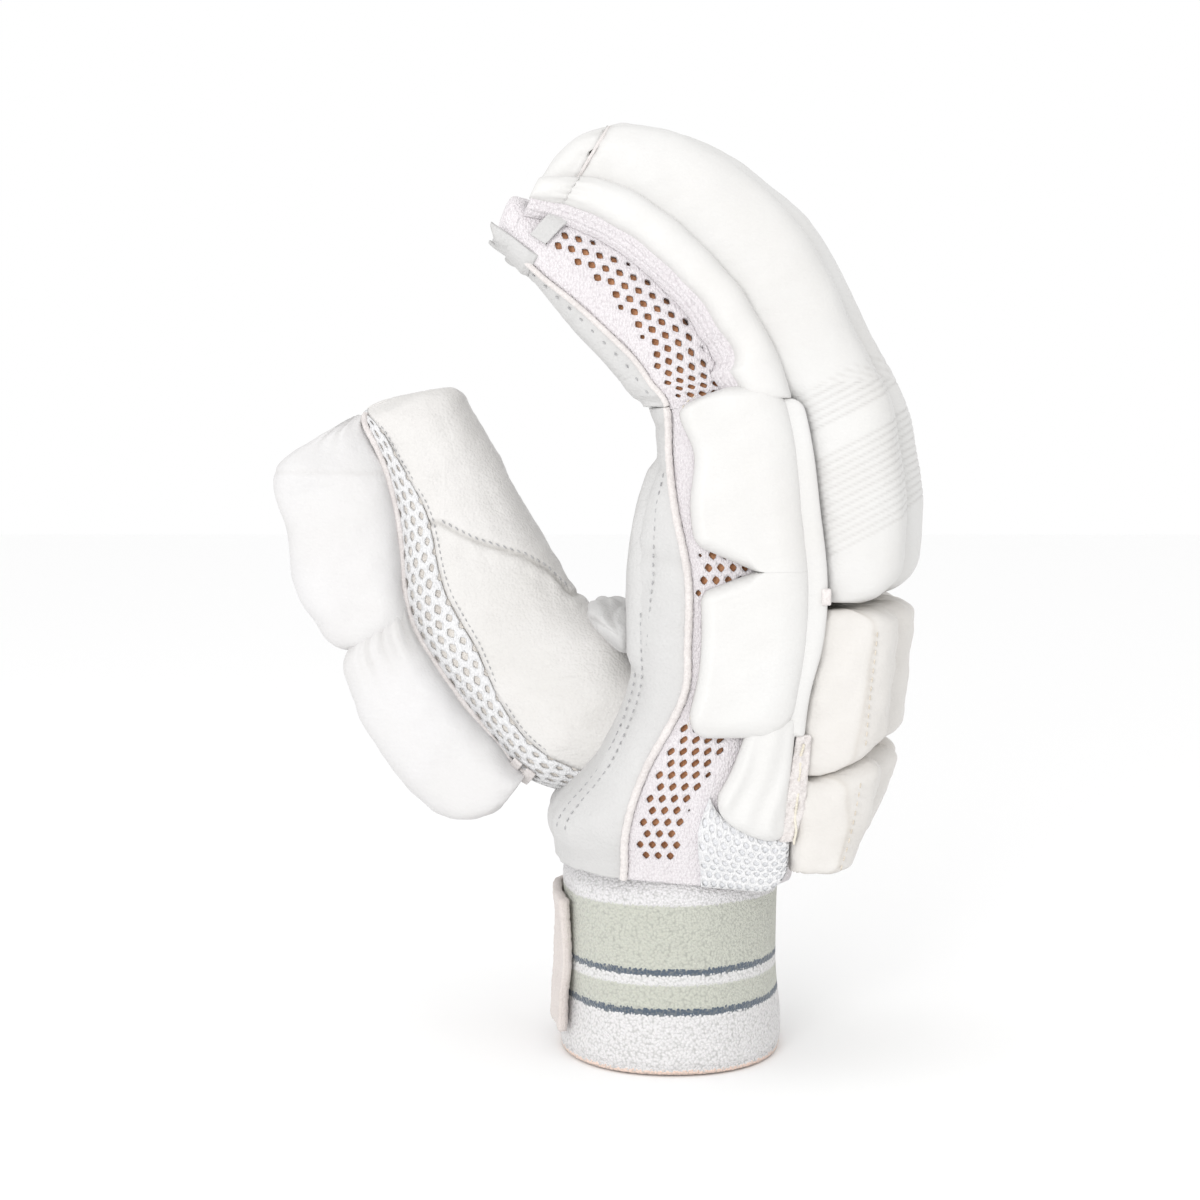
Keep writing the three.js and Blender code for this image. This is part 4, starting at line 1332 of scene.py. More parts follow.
@dataclass
class FingerRolls(Part):
    """The four long padded rolls over the fingers, ribbed at the knuckles, with their gathered ends."""

    rib_slope: float = 27.0
    rib_pitch: float = 1.95
    rib_depth: float = 0.26
    rib_groups: tuple[tuple[float, float], ...] = ((105.8, 131.5), (137.2, 148.0))
    rib_width: float = 0.24
    ribbed_share: float = 0.43
    ribbed_rings: int = 215
    plain_rings: int = 90
    columns: int = 64
    sink: float = 1.8
    cord_radius: float = 0.5

    def ribs(self, points: Array) -> Array:
        """Grooves across a roll: bells round evenly spaced lines that rise towards the back of the hand.

        Args:
            points: places in millimetres, last axis 3.

        Returns:
            How deep each point lies in a groove, from 0 to 1.
        """
        slope = np.radians(self.rib_slope)
        level = points[..., 2] * np.cos(slope) - points[..., 0] * np.sin(slope)
        off = np.abs(level / self.rib_pitch - np.round(level / self.rib_pitch)) * self.rib_pitch
        inside = sum(window(low, high, 0.4, level) for low, high in self.rib_groups)
        return bell(off, self.rib_width) * inside

    def padded(self, place: float, t: Array, size: Array, bulge: float) -> Array:
        """Rings of a roll: superellipses from the base to the back's line, narrower where less full.

        Args:
            place: the finger's place across the hand, in pitches.
            t: rows of the sections.
            size: how full each ring is.
            bulge: millimetres to add all round.

        Returns:
            The points, in millimetres.
        """
        turn = ROLL_RING.round(self.columns)
        t, size = t[:, None], size[:, None]
        s = Hand.section(t)
        base = s.base - self.sink
        half = (s.depth - base) / 2 * size
        c, n = superellipse(turn, ROLL_POWER)
        width = ROLL_HALF * lerp(0.55, 1.0, size) + bulge
        return Hand.body(t, base + half - (half + bulge) * c, place * FINGER_PITCH + width * n)

    def roll(self, place: float, seed: int) -> Surface:
        """One roll: fine rings where it is ribbed, gathers beside its cap and a soft crumple.

        Args:
            place: the finger's place across the hand, in pitches.
            seed: seed of the crumple.

        Returns:
            The piece's surface.
        """
        ribbed = np.linspace(0, self.ribbed_share, self.ribbed_rings, endpoint=False)
        plain = np.linspace(self.ribbed_share, 1, self.plain_rings)
        t, size = pad_rows(ROLL_START, ROLL_END + 0.02, np.concatenate([ribbed, plain]), 0.55, 0, 0.45)
        base = self.padded(place, t, size, 0.0)
        beyond = self.padded(place, t, size, 0.5)
        rib = self.ribs(base)
        turn = turns(self.columns)
        gather = ease(12.5, 13.3, t)[:, None] * np.sin(turn * 17 + seed) * 0.2
        tuck = ease(13.2, 13.32, t)[:, None] * 0.4
        height = crumple(base, 16, seed) * 0.2 + crumple(base, 5, seed + 40) * 0.06 + gather - tuck
        height = height - rib * self.rib_depth
        # Painted shade in the rib grooves and in the tuck by the cap
        return loft(raised(base, beyond, height, True), rib * 0.3 + tuck * 0.4)

    def cap(self, place: float, seed: int) -> Surface:
        """A roll's end cap: it domes over and its leather is gathered into the seam.

        Args:
            place: the finger's place across the hand, in pitches.
            seed: seed of the crumple.

        Returns:
            The piece's surface.
        """
        t, size = pad_rows(CAP_START, FINGER_END, eased_steps(60), 0.001, 0.5, 0.3)
        base = self.padded(place, t, size, 0.0)
        beyond = self.padded(place, t, size, 0.5)
        turn = turns(self.columns)
        near = (1 - ease(CAP_START, CAP_START + 0.35, t))[:, None]
        gather = near * (np.sin(turn * 21 + seed) + 0.6 * np.sin(turn * 34 + 2 * seed)) * 0.2
        tuck = (1 - ease(CAP_START, CAP_START + 0.08, t))[:, None] * 0.35
        height = gather - tuck + crumple(base, 7, seed + 9) * 0.18
        # Painted shade in the tuck and in the gathers
        return loft(raised(base, beyond, height, True), tuck * 0.45 + np.abs(gather) * 0.4)

    def end_cord(self, place: float) -> Surface:
        """The thin piped seam between a roll and its cap.

        Args:
            place: the finger's place across the hand, in pitches.

        Returns:
            The piece's surface.
        """
        t = np.array([ROLL_END + 0.03, ROLL_END + 0.0301])
        ring = self.padded(place, t, np.ones(2), -0.35)[0]
        middle = ring.mean(0)
        return pipe(tube_grid(ring, unit(ring - middle), self.cord_radius, 6, closed=True))

    def build(self) -> None:
        """Makes the rolls, their caps and the cords between them."""
        for seed, (name, place) in enumerate(FINGERS.items()):
            roll, cap = f"roll_{name}", f"roll_cap_{name}"
            self.add(f"{roll}_ribbed", self.roll(place, seed), Finish.ROLL, "roll_leather", (roll,), 0.9)
            self.add(f"{cap}_gathered", self.cap(place, seed), Finish.ROLL, "roll_leather", (cap,), 0.8)
            self.add(f"roll_cord_{name}", self.end_cord(place), Finish.PIPING, "edging")


@dataclass
class SideRoll(Part):
    """The slim roll on the little finger's outer side, with its end cap."""

    columns: int = 48

    def rings(self, t: Array, size: Array, extra: float) -> Array:
        """Rings over the side bar: superellipses, bulging out from the finger's side.

        Args:
            t: rows of the sections.
            size: how full each ring is.
            extra: millimetres to add all round.

        Returns:
            The points, in millimetres.
        """
        turn = ROLL_RING.round(self.columns)
        t, size = t[:, None], size[:, None]
        s = Hand.section(t)
        bar = np.maximum(s.bar, LEAST_BAR * s.depth)
        half = (s.edge - bar - CLEARANCE) / 2 * lerp(0.8, 1.0, size) + extra
        c, n = superellipse(turn, ROLL_POWER)
        return Hand.side(t, (bar + s.edge) / 2 - half * c, (SIDE_ROLL_BULGE * size + extra) * n)

    def soft(self, t: Array, size: Array, seed: int, gather: Array) -> Surface:
        """A closed surface of the rings with a soft crumple and gathers.

        Args:
            t: rows of the sections.
            size: how full each ring is.
            seed: seed of the crumple.
            gather: how gathered each ring is.

        Returns:
            The piece's surface.
        """
        base = self.rings(t, size, 0.0)
        turn = turns(self.columns)
        folds = gather[:, None] * np.sin(turn * 12 + seed) * 0.22
        tuck = gather[:, None] ** 6 * 0.25
        height = crumple(base, 12, seed) * 0.18 + folds - tuck
        # Painted shade in the tuck of the gathered end
        return loft(raised(base, self.rings(t, size, 0.5), height, True), tuck * 0.3)

    def build(self) -> None:
        """Makes the side roll and its cap."""
        t, size = pad_rows(SIDE_ROLL_START - 0.3, ROLL_END + 0.02, np.linspace(0, 1, 130), 0.35, 0, 0.72)
        roll = self.soft(t, size, 21, ease(12.6, 13.3, t))
        t, size = pad_rows(CAP_START - 0.06, FINGER_END, eased_steps(50), 0.001, 0.4, 0.5)
        cap = self.soft(t, size, 22, 1 - ease(CAP_START, CAP_START + 0.3, t))
        self.add("side_roll_soft", roll, Finish.ROLL, "roll_leather", ("side_roll",), 0.85)
        self.add("side_roll_cap_soft", cap, Finish.ROLL, "roll_leather", ("side_roll_cap",), 0.8)


@dataclass
class BackBlocks(Part):
    """The padded blocks over the knuckles and the wrist, four of each, with a stitched ridge along each."""

    knuckle: tuple[float, float] = (2.16, 4.5)
    wrist: tuple[float, float] = (0.1, 2.1)
    ridge: float = 0.73
    chamfer: float = 3.4
    split: float = 2.13
    sag: float = 0.3
    sink: float = 2.6
    columns: int = 76

    def rings(self, place: float, t: Array, size: Array, bulge: float) -> Array:
        """Rings of a block: squarish, with the back corners cut away past the ridge line.

        Args:
            place: the finger's place across the hand, in pitches.
            t: rows of the sections.
            size: how full each ring is.
            bulge: millimetres to add all round.

        Returns:
            The points, in millimetres.
        """
        turn = BLOCK_RING.round(self.columns)
        t, size = t[:, None], size[:, None]
        s = Hand.section(t)
        base = s.base - self.sink
        half = (s.depth - base) / 2 * size
        c, n = superellipse(turn, BLOCK_POWER)
        share = (1 - c) / 2
        cut = np.clip((share - self.ridge) / (1 - self.ridge), 0, 1) * self.chamfer
        width = ROLL_HALF * lerp(0.55, 1.0, size) + bulge - cut
        sag = self.sag * (1 - (2 * share - 1) ** 2) * (1 - ease(0.0, 1.4, np.abs(t - self.split)))
        return Hand.body(t - sag, base + half - (half + bulge) * c, place * FINGER_PITCH + width * n)

    def block(self, place: float, rows: tuple[float, float], seed: int) -> Surface:
        """One block, with a soft crumple, puckered ends and a shallow seam along its ridge.

        Args:
            place: the finger's place across the hand, in pitches.
            rows: first and last row.
            seed: seed of the crumple.

        Returns:
            The piece's surface.
        """
        t, size = pad_rows(*rows, eased_steps(72), 0.28, 0.28, 0.6)
        base = self.rings(place, t, size, 0.0)
        turn = BLOCK_RING.round(self.columns)
        share = (1 - superellipse(turn, BLOCK_POWER)[0]) / 2
        seam = bell(share - self.ridge, 0.03) * np.ones_like(size)[:, None]
        edge = (1 - size)[:, None]
        pucker = edge * np.sin(turn * 19 + seed) * 0.5
        height = crumple(base, 11, seed) * 0.25 + crumple(base, 4, seed + 7) * 0.06 + pucker - seam * 0.25
        # Painted shade along the ridge seam and at the puckered ends
        return loft(raised(base, self.rings(place, t, size, 0.5), height, True), seam * 0.22 + edge * 0.5)

    def ridge_stitches(self, place: float, rows: tuple[float, float]) -> Surface:
        """Stitches along the ridge on a block's outer side.

        Args:
            place: the finger's place across the hand, in pitches.
            rows: first and last row.

        Returns:
            The piece's surface.
        """
        t = np.linspace(rows[0] + 0.12, rows[1] - 0.3, 80)
        s = Hand.section(t)
        depth = lerp(s.base, s.depth, self.ridge)
        path = Hand.body(t, depth, place * FINGER_PITCH - ROLL_HALF * 0.995)
        up = np.tile([0.35, -0.93, 0.0], (len(t), 1))
        return stitches(path, up, 2.3, 1.5, 0.24)

    def build(self) -> None:
        """Makes both rows of blocks and their stitches."""
        for seed, (name, place) in enumerate(FINGERS.items()):
            for kind, rows, offset in (("knuckle", self.knuckle, 60), ("wrist", self.wrist, 80)):
                node = f"{kind}_block_{name}"
                block = self.block(place, rows, seed + offset)
                self.add(f"{node}_crowned", block, Finish.BLOCK, "block_leather", (node,), 0.8)
                thread = self.ridge_stitches(place, rows)
                self.add(f"{kind}_stitches_{name}", thread, Finish.TAN_THREAD, "edging")


@dataclass(frozen=True)
class SidePatch:
    """A piece laid over the hand's flat side: its ends, its depths and how it crowns.

    Shoulders are for the low, high, left and right sides. Corners are for the low end's left and right
    and the high end's left and right. All are in millimetres.
    """

    low: Callable[[Array], Array]
    high: Callable[[Array], Array]
    left: Callable[[Section, Array], Array]
    right: Callable[[Section, Array], Array]
    rim: float
    thickness: float
    shoulders: tuple[object, float, float, float]
    corners: tuple[float, float, float, float] = (3.0, 3.0, 3.0, 3.0)
    rows: int = 90
    columns: int = 60
    settle: float = 0.001

    @staticmethod
    def trim(radius: float, side: Array) -> Array:
        """How much an end is cut back at that distance from a side: a quarter circle."""
        near = np.clip(radius - side, 0, radius)
        return radius - np.sqrt(radius**2 - near**2)

    def layout(self, u: Array, v: Array) -> tuple[Array, Array, list[Array]]:
        """Section and depth of each grid point, with its distances in millimetres from the four sides.

        Args:
            u: shares along, from the low end to the high one.
            v: shares across, from left to right.

        Returns:
            The sections, the depths and the four distances.
        """
        s = Hand.section((self.low(v) + self.high(v)) / 2)
        breadth = self.right(s, 0.5) - self.left(s, 0.5)
        middle = (s.bar + s.edge) / 2
        span = Hand.side(self.high(v), middle, 0.0) - Hand.side(self.low(v), middle, 0.0)
        length = np.linalg.norm(span, axis=-1)
        low_left, low_right, high_left, high_right = self.corners
        start = np.maximum(self.trim(low_left, v * breadth), self.trim(low_right, (1 - v) * breadth))
        end = np.maximum(self.trim(high_left, v * breadth), self.trim(high_right, (1 - v) * breadth))
        t = lerp(self.low(v), self.high(v), lerp(start / length, 1 - end / length, u))
        s = Hand.section(t)
        left, right = self.left(s, u), self.right(s, u)
        width = right - left
        distances = [u * length, (1 - u) * length, v * width, (1 - v) * width]
        return t, lerp(left, right, v), distances

    def crown(self, distances: list[Array], v: Array) -> Array:
        """Height over the rim: quarter circles over each side's shoulder, joined round the corners.

        Args:
            distances: millimetres from the four sides.
            v: shares across, from left to right.

        Returns:
            Height from 0 at the rim to 1.
        """
        total = 0.0
        for distance, shoulder in zip(distances, self.shoulders):
            reach = shoulder(v) if callable(shoulder) else shoulder
            share = np.clip((distance + self.settle) / reach, 0, 1)
            total = total + (1 - np.sqrt(1 - (1 - share) ** 2)) ** 2
        return np.clip(1 - np.sqrt(total), 0, 1)

    def build(self, seed: int, crumpled: float = 0.15, relief: Callable | None = None) -> Surface:
        """The patch as a closed wall, with a soft crumple that fades at its rim.

        Args:
            seed: seed of the crumple.
            crumpled: the crumple's height in millimetres.
            relief: further height from the section, the depth and the distances.

        Returns:
            The patch's surface.
        """
        v = eased_steps(self.columns)[None]
        t, depth, distances = self.layout(eased_steps(self.rows)[:, None], v)
        crown = self.crown(distances, v)
        foot = Hand.side(t, depth, -0.6)
        height = 0.6 + CLEARANCE + self.rim + (self.thickness - self.rim) * crown
        height = height + crumple(foot, 11, seed) * crumpled * crown
        if relief is not None:
            height = height + relief(t, depth, distances)
        top = Hand.side(t, depth, height - 0.6)
        # Painted shade round the rim, where the patch meets what lies under it
        return wall(top, foot, 0.25 * (1 - ease(0.0, 0.3, crown)))


def level(row: float) -> Callable[[Array], Array]:
    """An end of a patch that stays on one row."""
    return lambda v: row + 0 * v


@dataclass
class SideBar(Part):
    """The side bar: two padded panels with a notch between them, leather, a strip and spacer mesh."""

    notch_middle: float = 5.1
    notch_upper: float = 5.48
    notch_lower: float = 4.8
    notch_apex: float = 0.52
    top: float = 8.45
    bottom: float = 2.43
    edge_inset: float = 0.03

    @staticmethod
    def leather_foot(v: Array) -> Array:
        """Lower edge of the slack leather: steep at its left corner and flatter to the right."""
        return 0.74 + 0.76 * (1 - np.asarray(v)) ** 2

    def notch(self, outer: float) -> Callable[[Array], Array]:
        """A side of the notch: straight from its mouth to its apex."""
        return lambda v: lerp(outer, self.notch_middle, np.clip(v / self.notch_apex, 0, 1))

    def seam_shoulder(self, v: Array) -> Array:
        """Shoulder at the notch's side: soft along the notch, and a mere fold past its apex."""
        return lerp(3.2, 0.001, ease(self.notch_apex - 0.1, self.notch_apex + 0.06, v))

    def pad(self, low: Callable, high: Callable, upper: bool) -> SidePatch:
        """One padded panel between two ends; the upper has the notch at its low end.

        Args:
            low: its low end.
            high: its high end.
            upper: whether it is the upper panel.

        Returns:
            The panel.
        """
        return SidePatch(
            low=low,
            high=high,
            left=lambda s, u: s.bar,
            right=lambda s, u: s.edge - self.edge_inset * s.depth,
            rim=1.0,
            thickness=SIDE_PAD_THICKNESS - 0.3,
            shoulders=(self.seam_shoulder, 4.5, 3.4, 8.5) if upper else (4.5, self.seam_shoulder, 3.4, 8.5),
            corners=(2.0, 0.01, 10.0, 8.0) if upper else (7.0, 8.0, 2.5, 0.01),
        )

    def pads(self) -> None:
        """Makes both panels and the running stitches beside their left and notch edges."""
        upper = self.pad(self.notch(self.notch_upper), level(self.top), True)
        lower = self.pad(level(self.bottom), self.notch(self.notch_lower), False)
        for node, pad in (("side_pad_upper", upper), ("side_pad_lower", lower)):
            self.add(f"{node}_crowned", pad.build(31), Finish.ROLL, "roll_leather", (node,), 0.7)
        rows = []
        runs = (
            (self.bottom + 0.15, self.notch_lower - 0.1),
            (self.notch_upper + 0.1, self.top - 0.15),
        )
        for start, end in runs:
            t = np.linspace(start, end, 60)
            path = Hand.side(t, Hand.section(t).bar + 0.55, CLEARANCE + 2.2)
            rows.append(stitches(path, np.tile([-0.5, -0.86, 0.0], (60, 1)), 1.9, 1.1, 0.2))
        for outer, shift in ((self.notch_upper, 0.035), (self.notch_lower, -0.035)):
            v = np.linspace(0.08, self.notch_apex, 40)
            t = self.notch(outer)(v) + shift
            s = Hand.section(t)
            depth = lerp(s.bar, s.edge - self.edge_inset * s.depth, v)
            path = Hand.side(t, depth, CLEARANCE + 2.3)
            rows.append(stitches(path, np.tile([0.0, -1.0, 0.0], (40, 1)), 1.7, 1.0, 0.2))
        self.add("side_pad_stitches", join(rows), Finish.TAN_THREAD, "edging")

    def soft_leather(self) -> None:
        """Makes the slack leather under the lower panel, with folds running down from it."""

        def folds(t: Array, depth: Array, distances: Array) -> Array:
            """Slanting folds: a sine across a line that leans with the depth."""
            inside = ease(0.0, 4.0, np.minimum.reduce(np.broadcast_arrays(*distances)))
            return inside * 0.35 * np.sin(depth * 0.9 + t * 5.0)

        patch = SidePatch(
            low=self.leather_foot,
            high=level(2.7),
            left=lambda s, u: s.depth * lerp(0.475, 0.49, u),
            right=lambda s, u: s.edge - 0.025 * s.depth,
            rim=1.2,
            thickness=4.0,
            shoulders=(5.0, 2.0, 4.0, 5.0),
            corners=(3.0, 4.0, 1.0, 1.0),
        )
        piece = patch.build(33, 0.35, folds)
        self.add("side_leather_soft", piece, Finish.ROLL, "roll_leather", ("side_leather",))

    def strip(self) -> None:
        """Makes the strip behind the panels: leather above, a rough raw edge below, and a cord along it."""
        shape = {
            "right": lambda s, u: s.edge + lerp(0.01, 0.035, ease(0.0, 0.4, u)) * s.depth,
            "shoulders": (1.5, 4.0, 1.2, 2.5),
            "columns": 20,
        }
        upper = SidePatch(
            low=level(2.44), high=level(8.1), rim=1.2, thickness=2.6,
            left=lambda s, u: s.edge - 0.09 * s.depth, corners=(0.8, 0.8, 0.8, 4.0), **shape,
        )
        lower = SidePatch(
            low=level(0.75), high=level(2.46), rim=0.8, thickness=2.2,
            left=lambda s, u: s.edge - lerp(0.045, 0.02, u) * s.depth, corners=(0.8, 0.8, 0.8, 0.8), **shape,
        )

        def rough(t: Array, depth: Array, distances: Array) -> Array:
            """Frayed cloth: fine crumple over the whole strip."""
            return crumple(Hand.side(t, depth, 0.0), 1.6, 35) * 0.35

        self.add("side_strip_leather", upper.build(34), Finish.ROLL, "roll_leather", ("seam_strip",))
        self.add("side_strip_raw", lower.build(36, 0.3, rough), Finish.PIPING, "edging")
        t = np.linspace(0.72, 2.35, 90)
        path = Hand.side(t, Hand.section(t).edge + 0.6, CLEARANCE + 2.0)
        path = path + np.stack([crumple(path, 6, 5) * 0.3, crumple(path, 5, 6) * 0.2, 0 * t], -1)
        up = np.tile([0.0, -1.0, 0.0], (90, 1))
        self.add("strip_glue_line", cord(path, up, 0.35, 7), Finish.EDGING, "edging")

    def spacer(self) -> None:
        """Makes the spacer mesh by the wrist: a net with oval cells over a paler backing."""
        rows, columns = 33, 41
        shape = SidePatch(
            low=level(WRIST_HEM),
            high=lambda v: self.leather_foot(v) + 0.05,
            left=lambda s, u: s.depth * lerp(0.51, 0.455, u),
            right=lambda s, u: s.edge - 0.01 * s.depth,
            rim=0.8,
            thickness=2.0,
            shoulders=(3.0, 3.0, 2.0, 4.0),
            corners=(0.01, 8.0, 0.01, 0.01),
        )
        i, j, keep = knit_pattern(rows, columns, lambda a, b: 1.0 + 0 * a, (1.6, 1.45))
        v = np.clip(j / (columns - 1), 0, 1)
        t, depth, distances = shape.layout(np.clip(i / (rows - 1), 0, 1), v)
        height = CLEARANCE + shape.rim + (shape.thickness - shape.rim) * shape.crown(distances, v)
        net = wall(Hand.side(t, depth, height), Hand.side(t, depth, height - 0.4), keep=keep)
        self.add("wrist_spacer_net", net, Finish.SPACER, "spacer_mesh", ("wrist_spacer",))
        backing = wall(Hand.side(t, depth, height - 0.42), Hand.side(t, depth, -0.6))
        self.add("wrist_spacer_backing", backing, Finish.PALE_CELL, "spacer_mesh")

    def tab(self) -> None:
        """Makes the small stitched tab at the lower end of the near roll."""
        tab = SidePatch(
            low=level(4.6),
            high=level(4.84),
            left=lambda s, u: s.edge + 0.012 * s.depth,
            right=lambda s, u: s.edge + 0.045 * s.depth,
            rim=3.2,
            thickness=3.8,
            shoulders=(0.8, 0.8, 0.8, 0.8),
            corners=(0.5, 0.5, 0.5, 0.5),
            rows=24,
            columns=24,
        )
        self.add("seam_tab_frayed", tab.build(37, 0.5), Finish.PIPING, "edging", ("seam_tab",))

    def build(self) -> None:
        """Makes the whole side bar."""
        self.pads()
        self.soft_leather()
        self.strip()
        self.spacer()
        self.tab()


@dataclass
class PalmLeather(Part):
    """The palm's leather with its finger fronts, patch, piped edge and rows of stitches."""

    patch_rows: tuple[float, float] = (3.1, 7.2)
    piping: float = 1.05
    finger_inset: float = 0.24
    hem_rows: tuple[float, float] = (13.25, 14.36)
    tab_half: float = 0.17
    fold_middle: tuple[float, float, float] = (-15.5, 2.0, 119.0)
    fold_half: tuple[float, float] = (9.5, 7.5)
    fold_reach: float = 25.0
    rows: int = 150
    columns: int = 90

    def hand_wall(self) -> Surface:
        """The hand's leather, open where the thumb joins it.

        Returns:
            The piece's surface.
        """
        t = np.linspace(WRIST_HEM, HAND_END, self.rows)[:, None]
        s = Hand.section(t)
        start = -Hand.seam_angle(t)
        end = angle_at(s.wall * RADIAL_SEAM, s.wall / 2, HAND_POWER)
        angle = HAND_RING.between(start, end, np.linspace(0, 1, self.columns)[None])
        base = Hand.palm(t, angle, 0.0)
        creases = self.creases(t, angle)
        height = crumple(base, 17, 51) * 0.3 + crumple(base, 6, 52) * 0.1 - creases * 0.3
        outer = raised(base, Hand.palm(t, angle, 0.5), height)
        inner = raised(Hand.palm(t, angle, -LEATHER), Hand.palm(t, angle, -LEATHER + 0.5), height)
        # Painted shade in the bend lines
        return wall(outer, inner, creases * 0.12, cells_out(Thumb, base, CLEAR_OF_THUMB))

    @staticmethod
    def creases(t: Array, angle: Array) -> Array:
        """Bend lines across the palm: bells round three curved lines.

        Args:
            t: rows of the sections.
            angle: angles round the section.

        Returns:
            How strong the bend line is at each point, from 0 to 1.
        """
        total = 0.0
        for row, lean, width in ((5.6, 0.35, 0.12), (6.6, -0.2, 0.1), (7.6, 0.1, 0.12)):
            total = total + bell(t - row - lean * np.sin(angle), width)
        return np.clip(total, 0, 1)

    def fronts(self) -> Surface:
        """The leather fronts of the fingers, creased at the joints.

        Returns:
            The piece's surface.
        """
        parts = []
        for seed, place in enumerate(FINGERS.values()):
            t = np.linspace(HAND_END - 0.02, FINGER_END, 90)[:, None]
            seam = Hand.seam_angle(t, FINGER_POWER)
            angle = FINGER_RING.between(-seam, seam, np.linspace(0, 1, 28)[None])
            finger = Hand.finger(place)
            base = finger(t, angle, 0.0)
            joint = bell(t - 9.6, 0.09) + bell(t - 9.95, 0.07) + bell(t - 11.9, 0.06) + bell(t - 12.2, 0.05)
            root = 1.4 * (1 - ease(0.0, 0.45, t - HAND_END))
            height = crumple(base, 12, seed + 53) * 0.2 - joint * 0.12 - root
            outer = raised(base, finger(t, angle, 0.5), height)
            inner = raised(finger(t, angle, -LEATHER), finger(t, angle, -LEATHER + 0.5), height)
            # Painted shade at the finger joints
            parts.append(wall(outer, inner, joint * 0.1 + 0 * angle))
        return join(parts)

    def patch(self) -> Surface:
        """The second layer over the palm's heel side.

        Returns:
            The piece's surface.
        """
        u = eased_steps(70)[:, None]
        v = eased_steps(40)[None]
        t = lerp(*self.patch_rows, u)
        s = Hand.section(t)
        angle = HAND_RING.between(-angle_at(s.seam * 0.4, s.wall / 2, HAND_POWER), -0.12, v)
        base = Hand.palm(t, angle, -1.0)
        rise = ease(0.0, 0.16, u) * ease(0.0, 0.16, 1 - u) * ease(0.0, 0.3, v) * ease(0.0, 0.3, 1 - v)
        height = 0.4 + 2.4 * rise + crumple(base, 10, 57) * 0.15 * rise
        return wall(raised(base, Hand.palm(t, angle, 0.0), height), base)

    def on_palm(self, t: Array, depth: Array, offset: float) -> tuple[Array, Array]:
        """A line on the little finger's side of the palm, with its outward directions."""
        half = Hand.section(t).wall / 2
        return on_wall(Hand.palm, t, -angle_at(depth, half, HAND_POWER), offset, offset + 1.0)

    def seam_piping(self) -> Surface:
        """The folded piping along the palm leather's edge, up the hand and the little finger.

        Returns:
            The piece's surface.
        """
        t = np.linspace(WRIST_HEM, HAND_END, 240)
        path, up = on_wall(Hand.palm, t, -Hand.seam_angle(t), 0.6, 2.0)
        low = cord(path, up, self.piping + 0.06 * np.sin(np.arange(240)), 10)
        t = np.linspace(HAND_END + 0.02, 13.4, 200)
        finger = Hand.finger(FINGERS["little"])
        path, up = on_wall(finger, t, -Hand.seam_angle(t, FINGER_POWER), 0.35, 1.5)
        return join([low, cord(path, up, 0.8, 8)])

    def rows_of_stitches(self) -> Surface:
        """Stitches: two rows by the thumb's seam, one along the patch and one along the piping.

        Returns:
            The piece's surface.
        """
        rows = []
        for depth in (3.0, 5.3):
            t = np.linspace(0.75, 4.5, 140)
            path, up = self.on_palm(t, depth + 0 * t, 0.12)
            rows.append(stitches(path, up, 2.35, 1.25, 0.24))
        t = np.linspace(3.9, 6.7, 120)
        path, up = self.on_palm(t, np.interp(t, [3.9, 5.0, 6.7], [6.6, 8.6, 5.2]), 0.12)
        rows.append(stitches(path, up, 2.35, 1.25, 0.24))
        finger = Hand.finger(FINGERS["little"])
        t = np.linspace(8.3, 13.3, 200)
        path, up = on_wall(finger, t, self.finger_inset - Hand.seam_angle(t, FINGER_POWER), 0.1, 1.0)
        rows.append(stitches(path, up, 4.2, 1.1, 0.3))
        return join(rows)

    def thumb_crotch(self) -> Surface:
        """The rolled fold where the thumb's leather meets the palm: a fat loft, pinched in rings.

        Returns:
            The piece's surface.
        """
        u = np.linspace(-1, 1, 70)[:, None]
        turn = turns(60)
        size = np.sqrt(np.clip(1 - np.abs(u) ** 2.4, 0.004, 1))
        dents = [(1.9, 0.3, 3.0, 0.17), (2.5, -0.25, 4.0, 0.13), (1.35, 0.2, 5.0, 0.12)]
        dent = sum(
            0.09 * bell(turn - at - sway * np.sin(rate * u), width) for at, sway, rate, width in dents
        )
        radius = size * (1 - dent)
        up = self.fold_half[1] * radius * np.sin(turn)
        forward = self.fold_half[0] * radius * np.cos(turn) * (0.72 + 0.28 * np.sin(turn))
        x = self.fold_middle[0] + forward - 0.38 * up
        z = self.fold_middle[2] + up - 1.5 * u**2
        y = self.fold_middle[1] + self.fold_reach * u
        grid = np.stack(np.broadcast_arrays(x, y, z), -1)
        grid = grid + crumple(grid, 9, 58)[..., None] * 0.2
        # Painted shade in the dents
        return loft(grid, np.clip(dent * 4, 0, 0.6) + 0 * turn)

    def hems(self) -> None:
        """Makes the turned hems at the finger ends, which stand off the knit."""
        for seed, (name, place) in enumerate(FINGERS.items()):
            u = np.linspace(0, 1, 30)[:, None]
            angle = np.linspace(-1.2, 1.2, 60)[None]
            ragged = 0.1 * np.sin(angle * 4.3 + seed) + 0.07 * np.sin(angle * 9.1 + 2 * seed)
            t = lerp(self.hem_rows[0], self.hem_rows[1] + ragged, u)
            finger = Hand.finger(place)
            flare = ease(0.4, 1.0, u) ** 2 * 1.2
            ruffle = ease(0.3, 1.0, u) * 0.7 * np.sin(angle * 5.2 + seed * 2)
            lift = -0.7 + 0.9 * ease(0.0, 0.15, u) + flare + ruffle * ease(0.2, 1, u)
            # Painted shade, darker towards the hem's flared edge
            shade = 0.3 * ease(0.85, 1.0, u) + 0 * angle
            hem = wall(finger(t, angle, lift + 0.9), finger(t, angle, lift), shade)
            self.add(f"hem_{name}_ruffled", hem, Finish.PALM, "palm_leather", (f"hem_{name}",))

